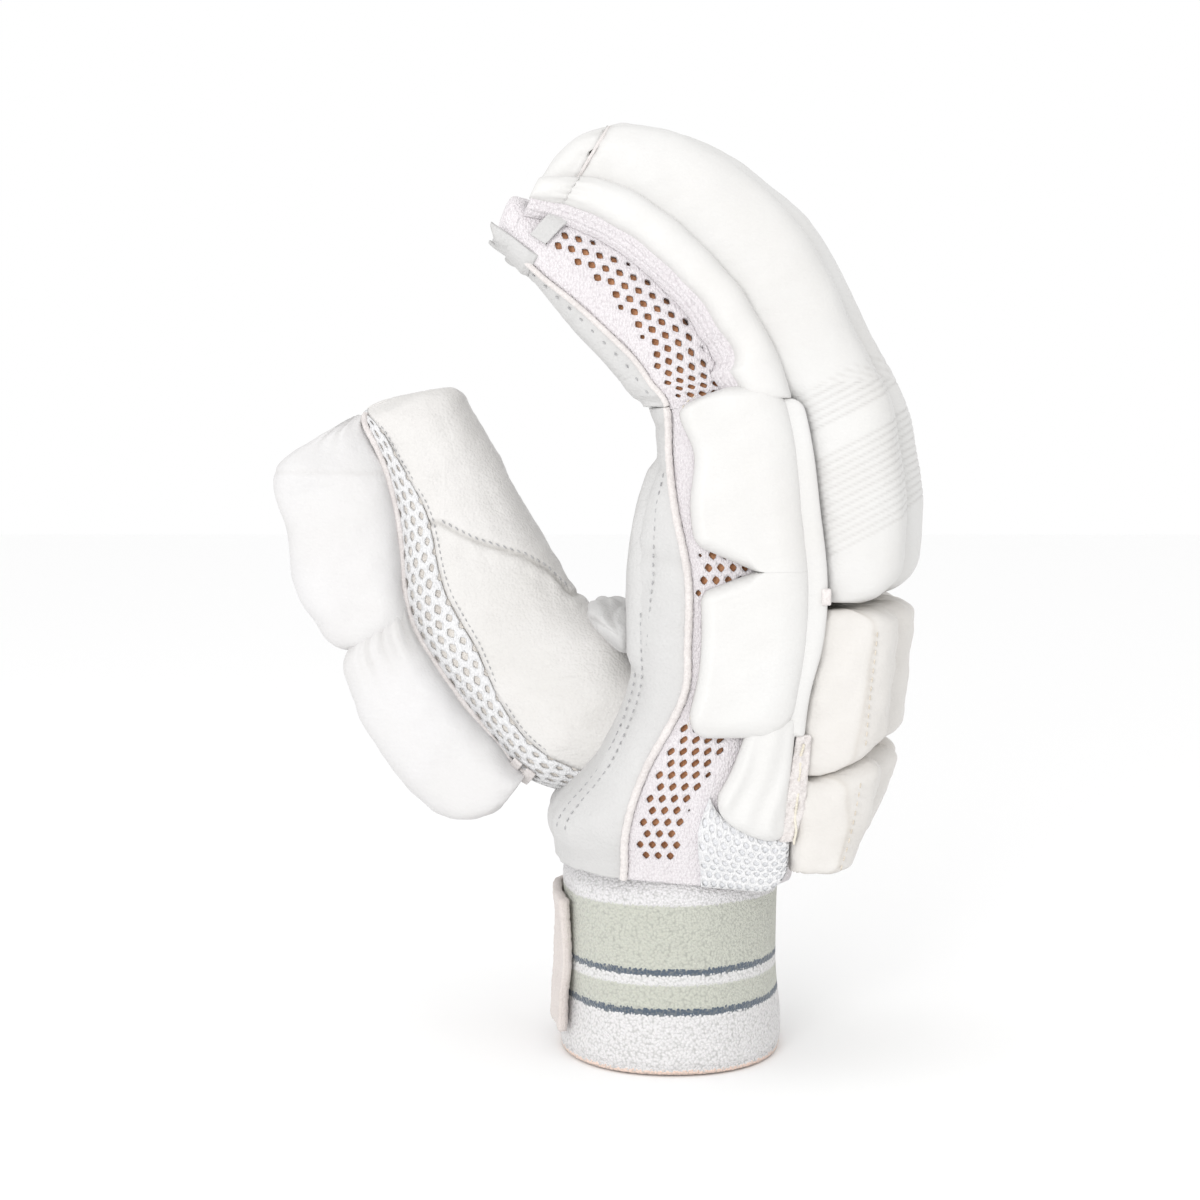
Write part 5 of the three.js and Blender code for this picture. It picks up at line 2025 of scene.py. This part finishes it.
    def tip_tab(self, start: tuple[float, float], end: tuple[float, float], far: bool) -> Surface:
        """A folded strip of leather over a side of the little finger's tip, arched clear of the knit.

        Args:
            start: X and Z of its lower end.
            end: X and Z of its upper end.
            far: whether it lies on the ring finger's side.

        Returns:
            The strip's surface.
        """
        u = np.linspace(0, 1, 36)
        row, depth = Hand.locate(lerp(start[0], end[0], u), lerp(start[1], end[1], u))
        finger = Hand.finger(FINGERS["little"])
        side = 1 if far else -1
        angle = side * angle_at(depth, Hand.section(row).wall / 2, FINGER_POWER)
        across = np.linspace(-1, 1, 14)[None]
        t = row[:, None] + self.tab_half * across
        arch = 0.3 + 1.5 * np.sin(np.pi * u)[:, None] * (1 + 0.35 * across)
        return wall(finger(t, angle[:, None], arch + 0.8), finger(t, angle[:, None], arch))

    def build(self) -> None:
        """Makes the palm's pieces."""
        leather = join([self.hand_wall(), self.fronts()])
        self.add("palm_leather_grained", leather, Finish.PALM, "palm_leather", ("palm_leather",))
        self.add("palm_patch_raised", self.patch(), Finish.PALM, "palm_leather", ("palm_patch",))
        self.add("palm_piping", self.seam_piping(), Finish.PIPING, "edging", ("palm_binding",))
        self.add("palm_stitches", self.rows_of_stitches(), Finish.GREY_THREAD, "edging")
        self.add("thumb_crotch_folds", self.thumb_crotch(), Finish.PALM, "palm_leather")
        near = self.tip_tab((-36.5, 223.0), (-28.5, 230.5), False)
        far = self.tip_tab((-39.0, 229.0), (-33.0, 235.5), True)
        self.add("finger_tip_tabs", join([near, far]), Finish.PALM, "palm_leather")
        self.hems()


@dataclass
class KnitWalls(Part):
    """The knitted walls of the hand and fingers, pierced on one side with a tan lining behind."""

    step: float = 0.82
    hole: tuple[float, float] = (1.5, 1.3)
    corner: float = 0.75
    top: float = 0.5
    edge_reach: float = 4.2

    @staticmethod
    def widths(t: Array) -> Array:
        """How far a pierced side reaches from the palm leather's seam, nearly to the padding's base."""
        s = Hand.section(t)
        return s.wall * 0.93 - s.seam

    @staticmethod
    def lining(place: Callable, t: Array, angle: Array) -> Surface:
        """A tan lining, which lies under a knitted wall."""
        deep = -KNIT - 2 * CLEARANCE
        return wall(place(t, angle, deep), place(t, angle, deep - LINING))

    def pierced(self, place: Callable, power: float, ends: tuple[float, float], size: Callable,
                rim_gap: float) -> Surface:
        """A net that runs from the palm leather's seam, with even steps both ways.

        Args:
            place: the wall's points from section, angle and offset.
            power: the section's power.
            ends: first and last section.
            size: a hole's size from its section, its distance from the seam and the net's width there.
            rim_gap: millimetres from the seam to the net's first column.

        Returns:
            The net's surface.
        """
        fine = np.linspace(*ends, 400)
        s = Hand.section(fine)
        middle = place(fine, -angle_at(s.seam + self.widths(fine) / 2, s.wall / 2, power), 0.0)
        lengths = np.concatenate([[0], np.cumsum(np.linalg.norm(np.diff(middle, axis=0), axis=1))])
        rows = int(lengths[-1] / self.step) + 1
        columns = int(self.widths(fine).max() / self.step) + 2

        def section_at(i: Array) -> Array:
            """Section of a row number."""
            return np.interp(i * lengths[-1] / (rows - 1), lengths, fine)

        def hole_size(i: Array, j: Array) -> Array:
            """Size of the hole in that row and column."""
            t = section_at(i)
            return size(t, rim_gap + j * self.step, self.widths(t))

        i, j, keep = knit_pattern(rows, columns, hole_size, self.hole)
        t = section_at(i)
        s = Hand.section(t)
        angle = -angle_at(np.minimum(s.seam + rim_gap + j * self.step, s.wall * 0.985), s.wall / 2, power)
        near = (i[:-1, :-1] + i[1:, 1:]) / 2
        reach = (j[:-1, :-1] + j[1:, 1:]) / 2 * self.step + rim_gap
        keep = keep & (reach < self.widths(section_at(near)))
        base = place(t, angle, -0.1)
        return wall(base, place(t, angle, -KNIT + 0.2), keep=keep)

    @staticmethod
    def plain(place: Callable, t: Array, angle: Array, inner: float, outer: float, seed: int) -> Surface:
        """A plain knitted wall with a soft crumple.

        Args:
            place: the wall's points from section, angle and offset.
            t: rows of the sections.
            angle: angles round the section.
            inner: offset of its inner face.
            outer: offset of its outer face.
            seed: seed of the crumple.

        Returns:
            The piece's surface.
        """
        base = place(t, angle, outer)
        height = crumple(base, 10, seed) * 0.12
        return wall(raised(base, place(t, angle, outer + 0.5), height), place(t, angle, inner))

    def hand_side(self) -> None:
        """Makes the pierced side of the hand and its lining."""

        def size(t: Array, reach: Array, width: Array) -> Array:
            """Full holes by the wrist and in the notch, small ones at their borders.

            Args:
                t: sections of the holes.
                reach: millimetres from the seam.
                width: the net's width there; not used.

            Returns:
                Sizes from 0 to 1.
            """
            s = Hand.section(t)
            share = (s.seam + reach) / s.depth
            wrist = window(3.4, 14.5 + 3.0 * ease(1.2, 2.3, t), 1.2, reach) * window(0.3, 2.62, 0.2, t)
            notch = window(4.6, 5.62, 0.1, t) * window(0.28, 0.5, 0.02, share)
            return np.maximum(wrist, notch)

        net = self.pierced(Hand.palm, HAND_POWER, (WRIST_HEM, HAND_END + 0.12), size, 0.6)
        self.add("side_mesh_pierced", net, Finish.KNIT, "knit_mesh", ("side_mesh",))
        t = np.linspace(0.15, HAND_END - 0.15, 50)[:, None]
        angle = HAND_RING.between(
            -Hand.seam_angle(t) - 0.02, -(np.pi - self.corner) + 0.03, np.linspace(0, 1, 20)[None]
        )
        lining = self.lining(Hand.palm, t, angle)
        self.add("side_lining_tan", lining, Finish.LINING, "lining", ("side_lining_hand",))

    def little_finger(self) -> None:
        """Makes the little finger's pierced outer side and its lining."""
        finger = Hand.finger(FINGERS["little"])

        def size(t: Array, reach: Array, width: Array) -> Array:
            """Full holes along the middle, with a dense band on both sides and at the tip.

            Args:
                t: sections of the holes.
                reach: millimetres from the seam.
                width: the net's width there.

            Returns:
                Sizes from 0 to 1.
            """
            share = reach / width
            middle = lerp(0.5, 0.62, ease(9.0, 12.5, t))
            spread = lerp(0.33, 0.14, ease(9.5, 13.2, t))
            return window(-spread, spread, 0.08, share - middle) * window(8.3, 13.2, 0.25, t)

        net = self.pierced(finger, FINGER_POWER, (FINGER_START - 0.12, FINGER_END + 0.02), size, 0.5)
        self.add("little_side_pierced", net, Finish.KNIT, "knit_mesh", ("gusset_little_outer",))
        t = np.linspace(FINGER_START + 0.1, FINGER_END - 0.1, 50)[:, None]
        ends = (-Hand.seam_angle(t, FINGER_POWER) - 0.05, -(np.pi - self.top) + 0.3)
        angle = FINGER_RING.between(*ends, np.linspace(0, 1, 14)[None])
        lining = self.lining(finger, t, angle)
        self.add("finger_lining_tan", lining, Finish.LINING, "lining", ("side_lining_finger",))

    def selvage(self) -> None:
        """Makes the plain knitted edge with two seams, which climbs onto the side roll."""
        finger = Hand.finger(FINGERS["little"])
        t = np.linspace(8.1, 13.95, 150)[:, None]
        v = np.linspace(0, 1, 24)[None]
        s = Hand.section(t)
        bar = np.maximum(s.bar, LEAST_BAR * s.depth)
        start = np.minimum(bar - self.edge_reach, s.wall * 0.9)
        foot = finger(t, -angle_at(start, s.wall / 2, FINGER_POWER), 0.1)
        top = Hand.side(t, bar + 1.2, 2.2)
        seams = bell(v - 0.35, 0.05) + bell(v - 0.62, 0.05)
        base = lerp(foot, top, v[..., None])
        beyond = base + np.array([0.0, -1.0, 0.0])
        outer = raised(base, beyond, 0.5 + 0.7 * np.sin(np.pi * v) - 0.35 * seams + 0 * t)
        # Painted shade along the two seams
        strip = wall(outer, raised(base, beyond, -0.7 + 0 * t * v), 0.3 * seams + 0 * t)
        self.add("finger_selvage", strip, Finish.KNIT, "knit_mesh")

    def backs(self) -> None:
        """Makes the back panel under the padding and the thumb side's mesh."""
        t = np.linspace(WRIST_HEM, HAND_END, 80)[:, None]
        gap = 2 * CLEARANCE / (Hand.section(t).wall / 2)
        v = np.linspace(0, 1, 30)[None]
        angle = HAND_RING.between(np.pi - self.corner + gap, np.pi + self.corner - gap, v)
        panel = self.plain(Hand.palm, t, angle, -LINING - KNIT, 0.0, 61)
        self.add("back_panel_knit", panel, Finish.KNIT, "knit_mesh", ("back_panel",))
        s = Hand.section(t)
        start = angle_at(s.wall * RADIAL_SEAM, s.wall / 2, HAND_POWER) - gap
        angle = HAND_RING.between(start, np.pi - self.corner + 0 * t, v)
        keep = cells_out(Thumb, Hand.palm(t, angle, 0.0), CLEAR_OF_THUMB)
        mesh = wall(Hand.palm(t, angle, -0.12), Hand.palm(t, angle, -KNIT), keep=keep)
        self.add("radial_mesh_knit", mesh, Finish.KNIT, "knit_mesh", ("radial_mesh",))

    def gusset(self, place: float, side: int, seed: int) -> Surface:
        """One side wall of a finger.

        Args:
            place: the finger's place across the hand, in pitches.
            side: 1 towards the index finger, -1 towards the little one.
            seed: seed of the crumple.

        Returns:
            The piece's surface.
        """
        finger = Hand.finger(place)
        t = np.linspace(FINGER_START - 0.12, FINGER_END, 80)[:, None]
        start = Hand.seam_angle(t, FINGER_POWER) + 2 * CLEARANCE / (Hand.section(t).wall / 2)
        angle = side * FINGER_RING.between(start, np.pi - self.top + 0 * t, np.linspace(0, 1, 16)[None])
        return self.plain(finger, t, angle, -KNIT, 0.0, seed)

    def crotch(self, place: float, next_place: float) -> Surface:
        """The web between two fingers, which sags a little at its middle.

        Args:
            place: the finger's place across the hand, in pitches.
            next_place: the next finger's place.

        Returns:
            The piece's surface.
        """
        v = np.linspace(0, 1, 16)[None]
        u = np.linspace(0, 1, 18)[:, None]
        low = place * FINGER_PITCH + FINGER_HALF - KNIT * 0.7
        high = next_place * FINGER_PITCH - FINGER_HALF + KNIT * 0.7
        y = lerp(low, high, v)
        sag = 0.05 * np.sin(np.pi * v)
        s = Hand.section(FINGER_START + 0.1)
        depth = lerp(0.38, 0.64, u) * s.wall
        top = Hand.body(FINGER_START + 0.25 - sag, depth, y)
        return wall(top, Hand.body(FINGER_START + 0.01 - sag, depth, y))

    def gussets(self) -> None:
        """Makes the walls between the fingers and on the index finger's outer side."""
        names = list(FINGERS)
        for seed, (name, next_name) in enumerate(zip(names, names[1:])):
            walls = [
                self.gusset(FINGERS[name], 1, seed + 70),
                self.gusset(FINGERS[next_name], -1, seed + 75),
                self.crotch(FINGERS[name], FINGERS[next_name]),
            ]
            node = f"gusset_{name}_{next_name}"
            self.add(f"{node}_knit", join(walls), Finish.KNIT, "knit_mesh", (node,))
        outer = self.gusset(FINGERS["index"], 1, 79)
        self.add("gusset_index_outer_knit", outer, Finish.KNIT, "knit_mesh", ("gusset_index_outer",))

    def tips(self) -> None:
        """Makes the knitted finger ends: rings that shrink over the end section like a dome."""
        for name, place in FINGERS.items():
            u = np.linspace(0, 1, 22)[:, None]
            turn = turns(48)
            scale = lerp(0.5, 0.99, np.sqrt(1 - u**2))
            half = Hand.section(FINGER_END).wall / 2
            c, n = superellipse(turn, FINGER_POWER)
            y = place * FINGER_PITCH + FINGER_HALF * scale * n
            grid = Hand.body(13.96 + 0.44 * u, half * (1 - scale * c), y)
            self.add(f"tip_{name}_knit", loft(grid), Finish.KNIT, "knit_mesh", (f"tip_{name}",))

    def build(self) -> None:
        """Makes all the knitted walls."""
        self.hand_side()
        self.little_finger()
        self.selvage()
        self.backs()
        self.gussets()
        self.tips()


@dataclass
class ThumbStall(Part):
    """The thumb: leather on the inner side, net round the back, and the guard's two padded blocks."""

    end: float = 8.0
    lower: tuple[float, float] = (1.15, 4.1)
    upper: tuple[float, float] = (3.98, 7.62)
    cross_x: tuple[float, ...] = (-65.9, -55.6, -41.9, -35.8, -28.1)
    cross_z: tuple[float, ...] = (146.8, 141.7, 137.4, 133.9, 126.2)
    fold_height: float = 161.2
    sink: float = 2.4
    root_bulge: float = 4.6
    tip_rise: float = 1.2
    net_step: float = 0.98
    net_columns: int = 57
    net_cell: tuple[float, float] = (1.72, 1.42)
    columns: int = 80

    def leather(self) -> Surface:
        """The inner leather with its cross seam, wrinkled above and below it.

        Returns:
            The piece's surface.
        """
        t = np.linspace(0.3, self.end, 130)[:, None]
        seam = Thumb.seam_angle(t)
        angle = FINGER_RING.between(-seam, seam, np.linspace(0, 1, 64)[None])
        base = Thumb.wall(t, angle, 0.0)
        above = base[..., 2] - self.seam_height(base[..., 0])
        groove = bell(above, 0.7)
        pinch = bell(above + 3.0, 2.2) * (0.5 + 0.5 * np.sin(base[..., 0] * 1.1 + base[..., 1] * 0.4))
        bulge = bell(above + 2.2, 1.6) * 0.45 - pinch * 0.35
        level = Thumb.wall(t, 0 * t, 0.0)[..., 2]
        root = self.root_bulge * bell(level - 111.0, 9.0) * bell(angle, 1.0)
        height = crumple(base, 14, 91) * 0.35 + crumple(base, 5, 92) * 0.1 - groove * 0.9 + bulge + root
        outer = raised(base, Thumb.wall(t, angle, 0.5), height)
        inner = Thumb.wall(t, angle, -LEATHER)
        keep = cells_out(Hand, base, CLEAR_OF_HAND)
        # Painted shade in the cross seam's groove
        return join([wall(outer, inner, groove * 0.5, keep), self.tip()])

    def tip(self) -> Surface:
        """The thumb's closed end: the last ring drawn in to a point, like a shallow dome on both sides.

        Returns:
            The piece's surface.
        """
        turn = turns(64)
        ring = Thumb.wall(np.full((1, 1), self.end), turn, -0.5 * LEATHER)
        below = Thumb.wall(np.full((1, 1), self.end - 0.1), turn, -0.5 * LEATHER)
        middle = ring.mean((0, 1))
        outward = unit(middle - below.mean((0, 1)))
        rise = np.linspace(-np.pi / 2, np.pi / 2, 26)[:, None, None]
        return loft(middle + (ring - middle) * np.cos(rise) + outward * np.sin(rise) * self.tip_rise)

    def seam_height(self, x: Array) -> Array:
        """Height of the cross seam over each X: it slants down from the net to the fingers' side."""
        return np.interp(x, self.cross_x, self.cross_z)

    def cross_stitches(self) -> Surface:
        """Stitches along the cross seam on the side by the little finger.

        Returns:
            The piece's surface.
        """
        x = np.linspace(self.cross_x[0], self.cross_x[-1] - 1.5, 160)
        path, up = Thumb.near_wall(x, self.seam_height(x) + 0.9, 0.12)
        return stitches(path, up, 2.1, 1.4, 0.24, 0.5)

    def net(self) -> None:
        """Makes the oval-celled net and its backing."""
        fine = np.linspace(0.3, self.end, 400)
        middle = Thumb.wall(fine, np.full(400, -2.2), 0.0)
        lengths = np.concatenate([[0], np.cumsum(np.linalg.norm(np.diff(middle, axis=0), axis=1))])
        rows, columns = int(lengths[-1] / self.net_step) + 1, self.net_columns

        def row_at(i: Array) -> Array:
            """Row of the thumb's table for a row number of the grid."""
            return np.interp(i * lengths[-1] / (rows - 1), lengths, fine)

        def size(i: Array, j: Array) -> Array:
            """Full cells, except beside the seams."""
            return 0.75 + 0.25 * window(4, columns - 5, 3, j)

        i, j, keep = knit_pattern(rows, columns, size, self.net_cell)
        t = row_at(i)
        seam = Thumb.seam_angle(t) + 0.02
        angle = THUMB_RING.between(seam, 2 * np.pi - seam, np.clip(j / (columns - 1), 0, 1))
        base = Thumb.wall(t, angle, 0.2)
        keep = keep & cells_out(Hand, base, CLEAR_OF_HAND)
        net = wall(base, Thumb.wall(t, angle, -0.5), keep=keep)
        self.add("thumb_net", net, Finish.SPACER, "spacer_mesh", ("thumb_mesh",))
        t = np.linspace(0.3, self.end, 50)[:, None]
        seam = Thumb.seam_angle(t) + 0.02
        angle = FINGER_RING.between(seam, 2 * np.pi - seam, np.linspace(0, 1, 30)[None])
        base = Thumb.wall(t, angle, -0.5)
        keep = cells_out(Hand, base, CLEAR_OF_HAND)
        backing = wall(base, Thumb.wall(t, angle, -KNIT), keep=keep)
        self.add("thumb_net_backing", backing, Finish.CELL, "spacer_mesh")

    def rings(self, t: Array, size: Array, bulge: float) -> Array:
        """Rings of a guard block: squarish sections beyond the net.

        Args:
            t: rows of the sections.
            size: how full each ring is.
            bulge: millimetres to add all round.

        Returns:
            The points, in millimetres.
        """
        turn = GUARD_RING.round(self.columns)
        t, size = t[:, None], size[:, None]
        s = Thumb.section(t)
        start = s.mesh - self.sink
        half = (s.width - start) / 2 * size
        c, n = superellipse(turn, BLOCK_POWER)
        breadth = np.maximum(s.half, 0.62 * FINGER_PITCH) * 1.05 * lerp(0.6, 1.0, size)
        points = Thumb.spot(t, start + half - (half + bulge) * c, (breadth + bulge) * n)
        points[..., 1] -= 0.45 * np.clip(points[..., 2] - self.fold_height, 0, None) * np.minimum(n, 0)
        return points

    def block(self, rows: tuple[float, float], ends: tuple[float, float], seed: int) -> Surface:
        """A guard block with gathers at its upper end and a soft crumple.

        Args:
            rows: first and last row.
            ends: rows over which the block fills and empties.
            seed: seed of the crumple.

        Returns:
            The piece's surface.
        """
        t, size = pad_rows(*rows, eased_steps(110), *ends, 0.6)
        base = self.rings(t, size, 0.0)
        turn = turns(self.columns)
        top = ease(rows[1] - 0.95, rows[1], t)[:, None]
        inner = 0.5 + 0.5 * np.cos(turn)
        gather = top * inner * (np.sin(turn * 23 + seed) + 0.5 * np.sin(turn * 37)) * 0.6
        fold = bell(base[..., 2] - self.fold_height, 0.8)
        height = crumple(base, 15, seed) * 0.28 + crumple(base, 5, seed + 1) * 0.07 + gather - fold * 0.28
        # Painted shade in the gathers and along the fold
        return loft(raised(base, self.rings(t, size, 0.5), height, True), np.abs(gather) * 0.5 + fold * 0.12)

    def guard(self) -> None:
        """Makes the two blocks, the cords beside the net and their stitches."""
        blocks = (("lower", self.lower, (0.6, 0.3), 94), ("upper", self.upper, (0.4, 0.4), 96))
        for name, rows, ends, seed in blocks:
            node = f"thumb_guard_{name}"
            block = self.block(rows, ends, seed)
            self.add(f"guard_{name}_padded", block, Finish.GUARD, "block_leather", (node,), 0.85)
        t = np.linspace(1.1, 7.6, 260)
        s = Thumb.section(t)
        cords, seams = [], []
        for side in (-1, 1):
            angle = side * angle_at(s.mesh - self.sink - 0.3, (s.mesh - CLEARANCE) / 2, FINGER_POWER)
            path, up = on_wall(Thumb.wall, t, angle, 0.5, 1.6)
            cords.append(cord(path, up, 0.95 + 0.04 * np.sin(np.arange(260) * 0.7), 8))
        for side in (-1, 1):
            angle = side * (Thumb.seam_angle(t) - 0.06)
            path, up = on_wall(Thumb.wall, t, angle, 0.12, 1.1)
            seams.append(stitches(path, up, 1.9, 1.2, 0.22))
        self.add("thumb_cords", join(cords), Finish.PIPING, "edging")
        self.add("thumb_stitches", join(seams + [self.cross_stitches()]), Finish.GREY_THREAD, "edging")

    def tabs(self) -> None:
        """Makes the two small raw tabs at the root of the guard."""
        for name, start, end in (("thumb_tab_lower", 1.02, 1.2), ("thumb_tab_upper", 1.3, 1.48)):
            u = np.linspace(0, 1, 14)[:, None]
            v = np.linspace(0.72, 1, 22)[None]
            t = lerp(start, end, u)
            s = Thumb.section(t)
            angle = -angle_at(s.mesh * lerp(0.7, 0.97, v), (s.mesh - CLEARANCE) / 2, FINGER_POWER)
            lift = CLEARANCE + 0.25 * np.sin(v * 7) + 0.8 * v**2
            tab = wall(Thumb.wall(t, angle, lift + 0.9), Thumb.wall(t, angle, lift))
            self.add(f"{name}_frayed", tab, Finish.PIPING, "edging", (name,))

    def build(self) -> None:
        """Makes the thumb."""
        leather = self.leather()
        self.add("thumb_leather_grained", leather, Finish.THUMB, "thumb_leather", ("thumb_leather",))
        self.net()
        self.guard()
        self.tabs()


@dataclass
class Cuff(Part):
    """The towelling cuff and its closing strap."""

    overlap: float = 3.5
    spread: float = 1.7
    strap_from: float = 7.3
    strap_width: float = 37.0
    strap_angles: tuple[float, float] = (-0.5, 1.5)
    strap_wall: float = 2.6

    def __post_init__(self) -> None:
        """Works out the cuff's half sizes and height from the wrist's section."""
        wrist = Hand.section(0.0)
        reach = wrist.wall * wrist.run[0] / 2
        self.half_depth = float(reach) - LEATHER - KNIT
        self.middle = float(wrist.palm[0] + reach)
        self.half_width = float(wrist.half) - KNIT - LINING - 2 * CLEARANCE
        self.top = float(wrist.palm[1]) + self.overlap

    def point(self, z: Array, angle: Array, offset: Array) -> Array:
        """A point of the cuff: a waisted near-ellipse at each height.

        Args:
            z: heights in millimetres.
            angle: angles round the section.
            offset: millimetres out of the wall.

        Returns:
            The points, in millimetres.
        """
        c, n = superellipse(angle, CUFF_POWER)
        waist = 0.97 + 0.03 * np.cos(2 * np.pi * z / self.top)
        x = self.middle - (self.half_depth * waist + offset) * c
        y = (self.half_width * waist + offset) * n
        return np.stack(np.broadcast_arrays(x, y, z + 0 * x), -1)

    def tube(self) -> Surface:
        """The cuff's wall: it widens below the hand's edge and is drawn in at the bottom hem.

        Returns:
            The piece's surface.
        """
        rows, columns = 72, 170
        z = np.linspace(0, self.top, rows)[:, None]
        angle = CUFF_RING.round(columns)
        plain = self.point(z, angle, 0.0)
        soft = crumple(plain, 24, 101) * 0.5 * ease(0, 12, z)
        hem = -0.7 * bell(z - 1.6, 0.7) - 0.5 * (1 - ease(0.0, 1.0, z))
        spread = self.spread * (1 - ease(self.top - 14.0, self.top - 9.5, z))
        lift = soft + hem + spread
        outer = self.point(z, angle, lift)
        inner = self.point(z, angle, spread - CUFF_WALL)
        rings = np.concatenate([outer, inner[::-1]])
        return pipe(rings)

    def strap(self) -> Surface:
        """The strap round the palm side, slightly lifted at its end and wavy along its edges.

        Returns:
            The piece's surface.
        """
        u = np.linspace(0, 1, 40)[:, None]
        v = np.linspace(0, 1, 90)[None]
        z = self.strap_from + self.strap_width * u + 0.5 * np.sin(v * 9)
        angle = lerp(*self.strap_angles, v)
        rim = np.minimum(np.minimum(u, 1 - u) * self.strap_width, np.minimum(v, 1 - v) * 66)
        base = self.point(z, angle, 0.0)
        fuzz = crumple(base, 2.2, 103) * 0.12 + crumple(base, 14, 104) * 0.35
        lift = 0.5 + self.spread + fuzz + 1.2 * (1 - ease(0, 0.1, v))
        top = lift + self.strap_wall - 0.5 + 0.5 * ease(0, 1.0, rim)
        return wall(self.point(z, angle, top), self.point(z, angle, lift))

    def build(self) -> None:
        """Makes the cuff and the strap."""
        self.add("cuff_looped", self.tube(), Finish.TOWELLING, "towelling", ("cuff",))
        self.add("cuff_strap_fuzzy", self.strap(), Finish.TAPE, "hook_tape", ("cuff_strap",))


@dataclass
class Studio:
    """A flat pale floor under a white world, soft lights and the camera at the photograph's angle."""

    target: tuple[float, float, float] = (-0.0203, 0.0, 0.1256)
    distance: float = 0.644
    elevation: float = 4.4
    lens: float = 68.5

    def camera(self) -> None:
        """Places the camera level with the little finger's side, slightly above the middle."""
        rise = np.radians(self.elevation)
        eye = Vector(self.target) + Vector((0, -np.cos(rise), np.sin(rise))) * self.distance
        data = bpy.data.cameras.new("camera")
        data.lens = self.lens
        data.sensor_width = 36
        data.clip_start = 0.01
        camera = bpy.data.objects.new("camera", data)
        camera.location = eye
        camera.rotation_euler = (Vector(self.target) - eye).to_track_quat("-Z", "Y").to_euler()
        bpy.context.scene.collection.objects.link(camera)
        bpy.context.scene.camera = camera

    def light(self, name: str, place: tuple[float, float, float], size: float, power: float) -> None:
        """Adds a square soft light that faces the glove.

        Args:
            name: the light's name.
            place: its place in metres.
            size: its side in metres.
            power: its power in watts.
        """
        data = bpy.data.lights.new(name, "AREA")
        data.size = size
        data.energy = power
        lamp = bpy.data.objects.new(name, data)
        lamp.location = place
        lamp.rotation_euler = (Vector(self.target) - Vector(place)).to_track_quat("-Z", "Y").to_euler()
        bpy.context.scene.collection.objects.link(lamp)

    def floor(self) -> None:
        """Makes a flat pale floor under the cuff."""
        side = np.linspace(-3000, 3000, 3)
        grid = np.stack(np.meshgrid(side, side, indexing="ij"), -1)
        points = np.concatenate([grid.reshape(-1, 2), np.full((9, 1), -0.6)], -1)
        number = np.arange(9).reshape(3, 3)
        corners = (number[:-1, :-1], number[1:, :-1], number[1:, 1:], number[:-1, 1:])
        quads = np.stack(corners, -1).reshape(-1, 4)
        mesh = bpy.data.meshes.new("floor")
        mesh.from_pydata((points * MM).tolist(), [], quads.tolist())
        g = Graph("pale_floor")
        grain = g.noise(g.place(), 0.2, 2.0)
        pale = g.shade({"Base Color": (0.975, 0.975, 0.975, 1), "Roughness": grain * 0.05 + 0.9})
        mesh.materials.append(pale)
        floor = bpy.data.objects.new("floor", mesh)
        bpy.context.scene.collection.objects.link(floor)

    def build(self) -> None:
        """Sets up the whole studio."""
        self.camera()
        self.floor()
        world = bpy.data.worlds.new("studio")
        world.use_nodes = True
        world.node_tree.nodes["Background"].inputs[0].default_value = (1, 1, 1, 1)
        world.node_tree.nodes["Background"].inputs[1].default_value = 1.0
        bpy.context.scene.world = world
        self.light("key", (-0.35, -1.0, 0.4), 0.4, 4.1)
        self.light("top", (-0.1, -0.1, 0.95), 0.4, 0.3)
        bpy.context.scene.view_settings.view_transform = "Standard"
        bpy.context.scene.view_settings.exposure = 0.0


def main() -> None:
    """Builds the studio and the glove's sub-assemblies in order."""
    logging.basicConfig(level=logging.INFO, format="%(name)s %(message)s")
    Studio().build()
    wardrobe = Wardrobe()
    for kind in (FingerRolls, SideRoll, BackBlocks, SideBar, PalmLeather, KnitWalls, ThumbStall, Cuff):
        kind(wardrobe).build()
        log.info("%s done, %d triangles so far", kind.__name__, wardrobe.triangles)


if __name__ == "__main__":
    main()
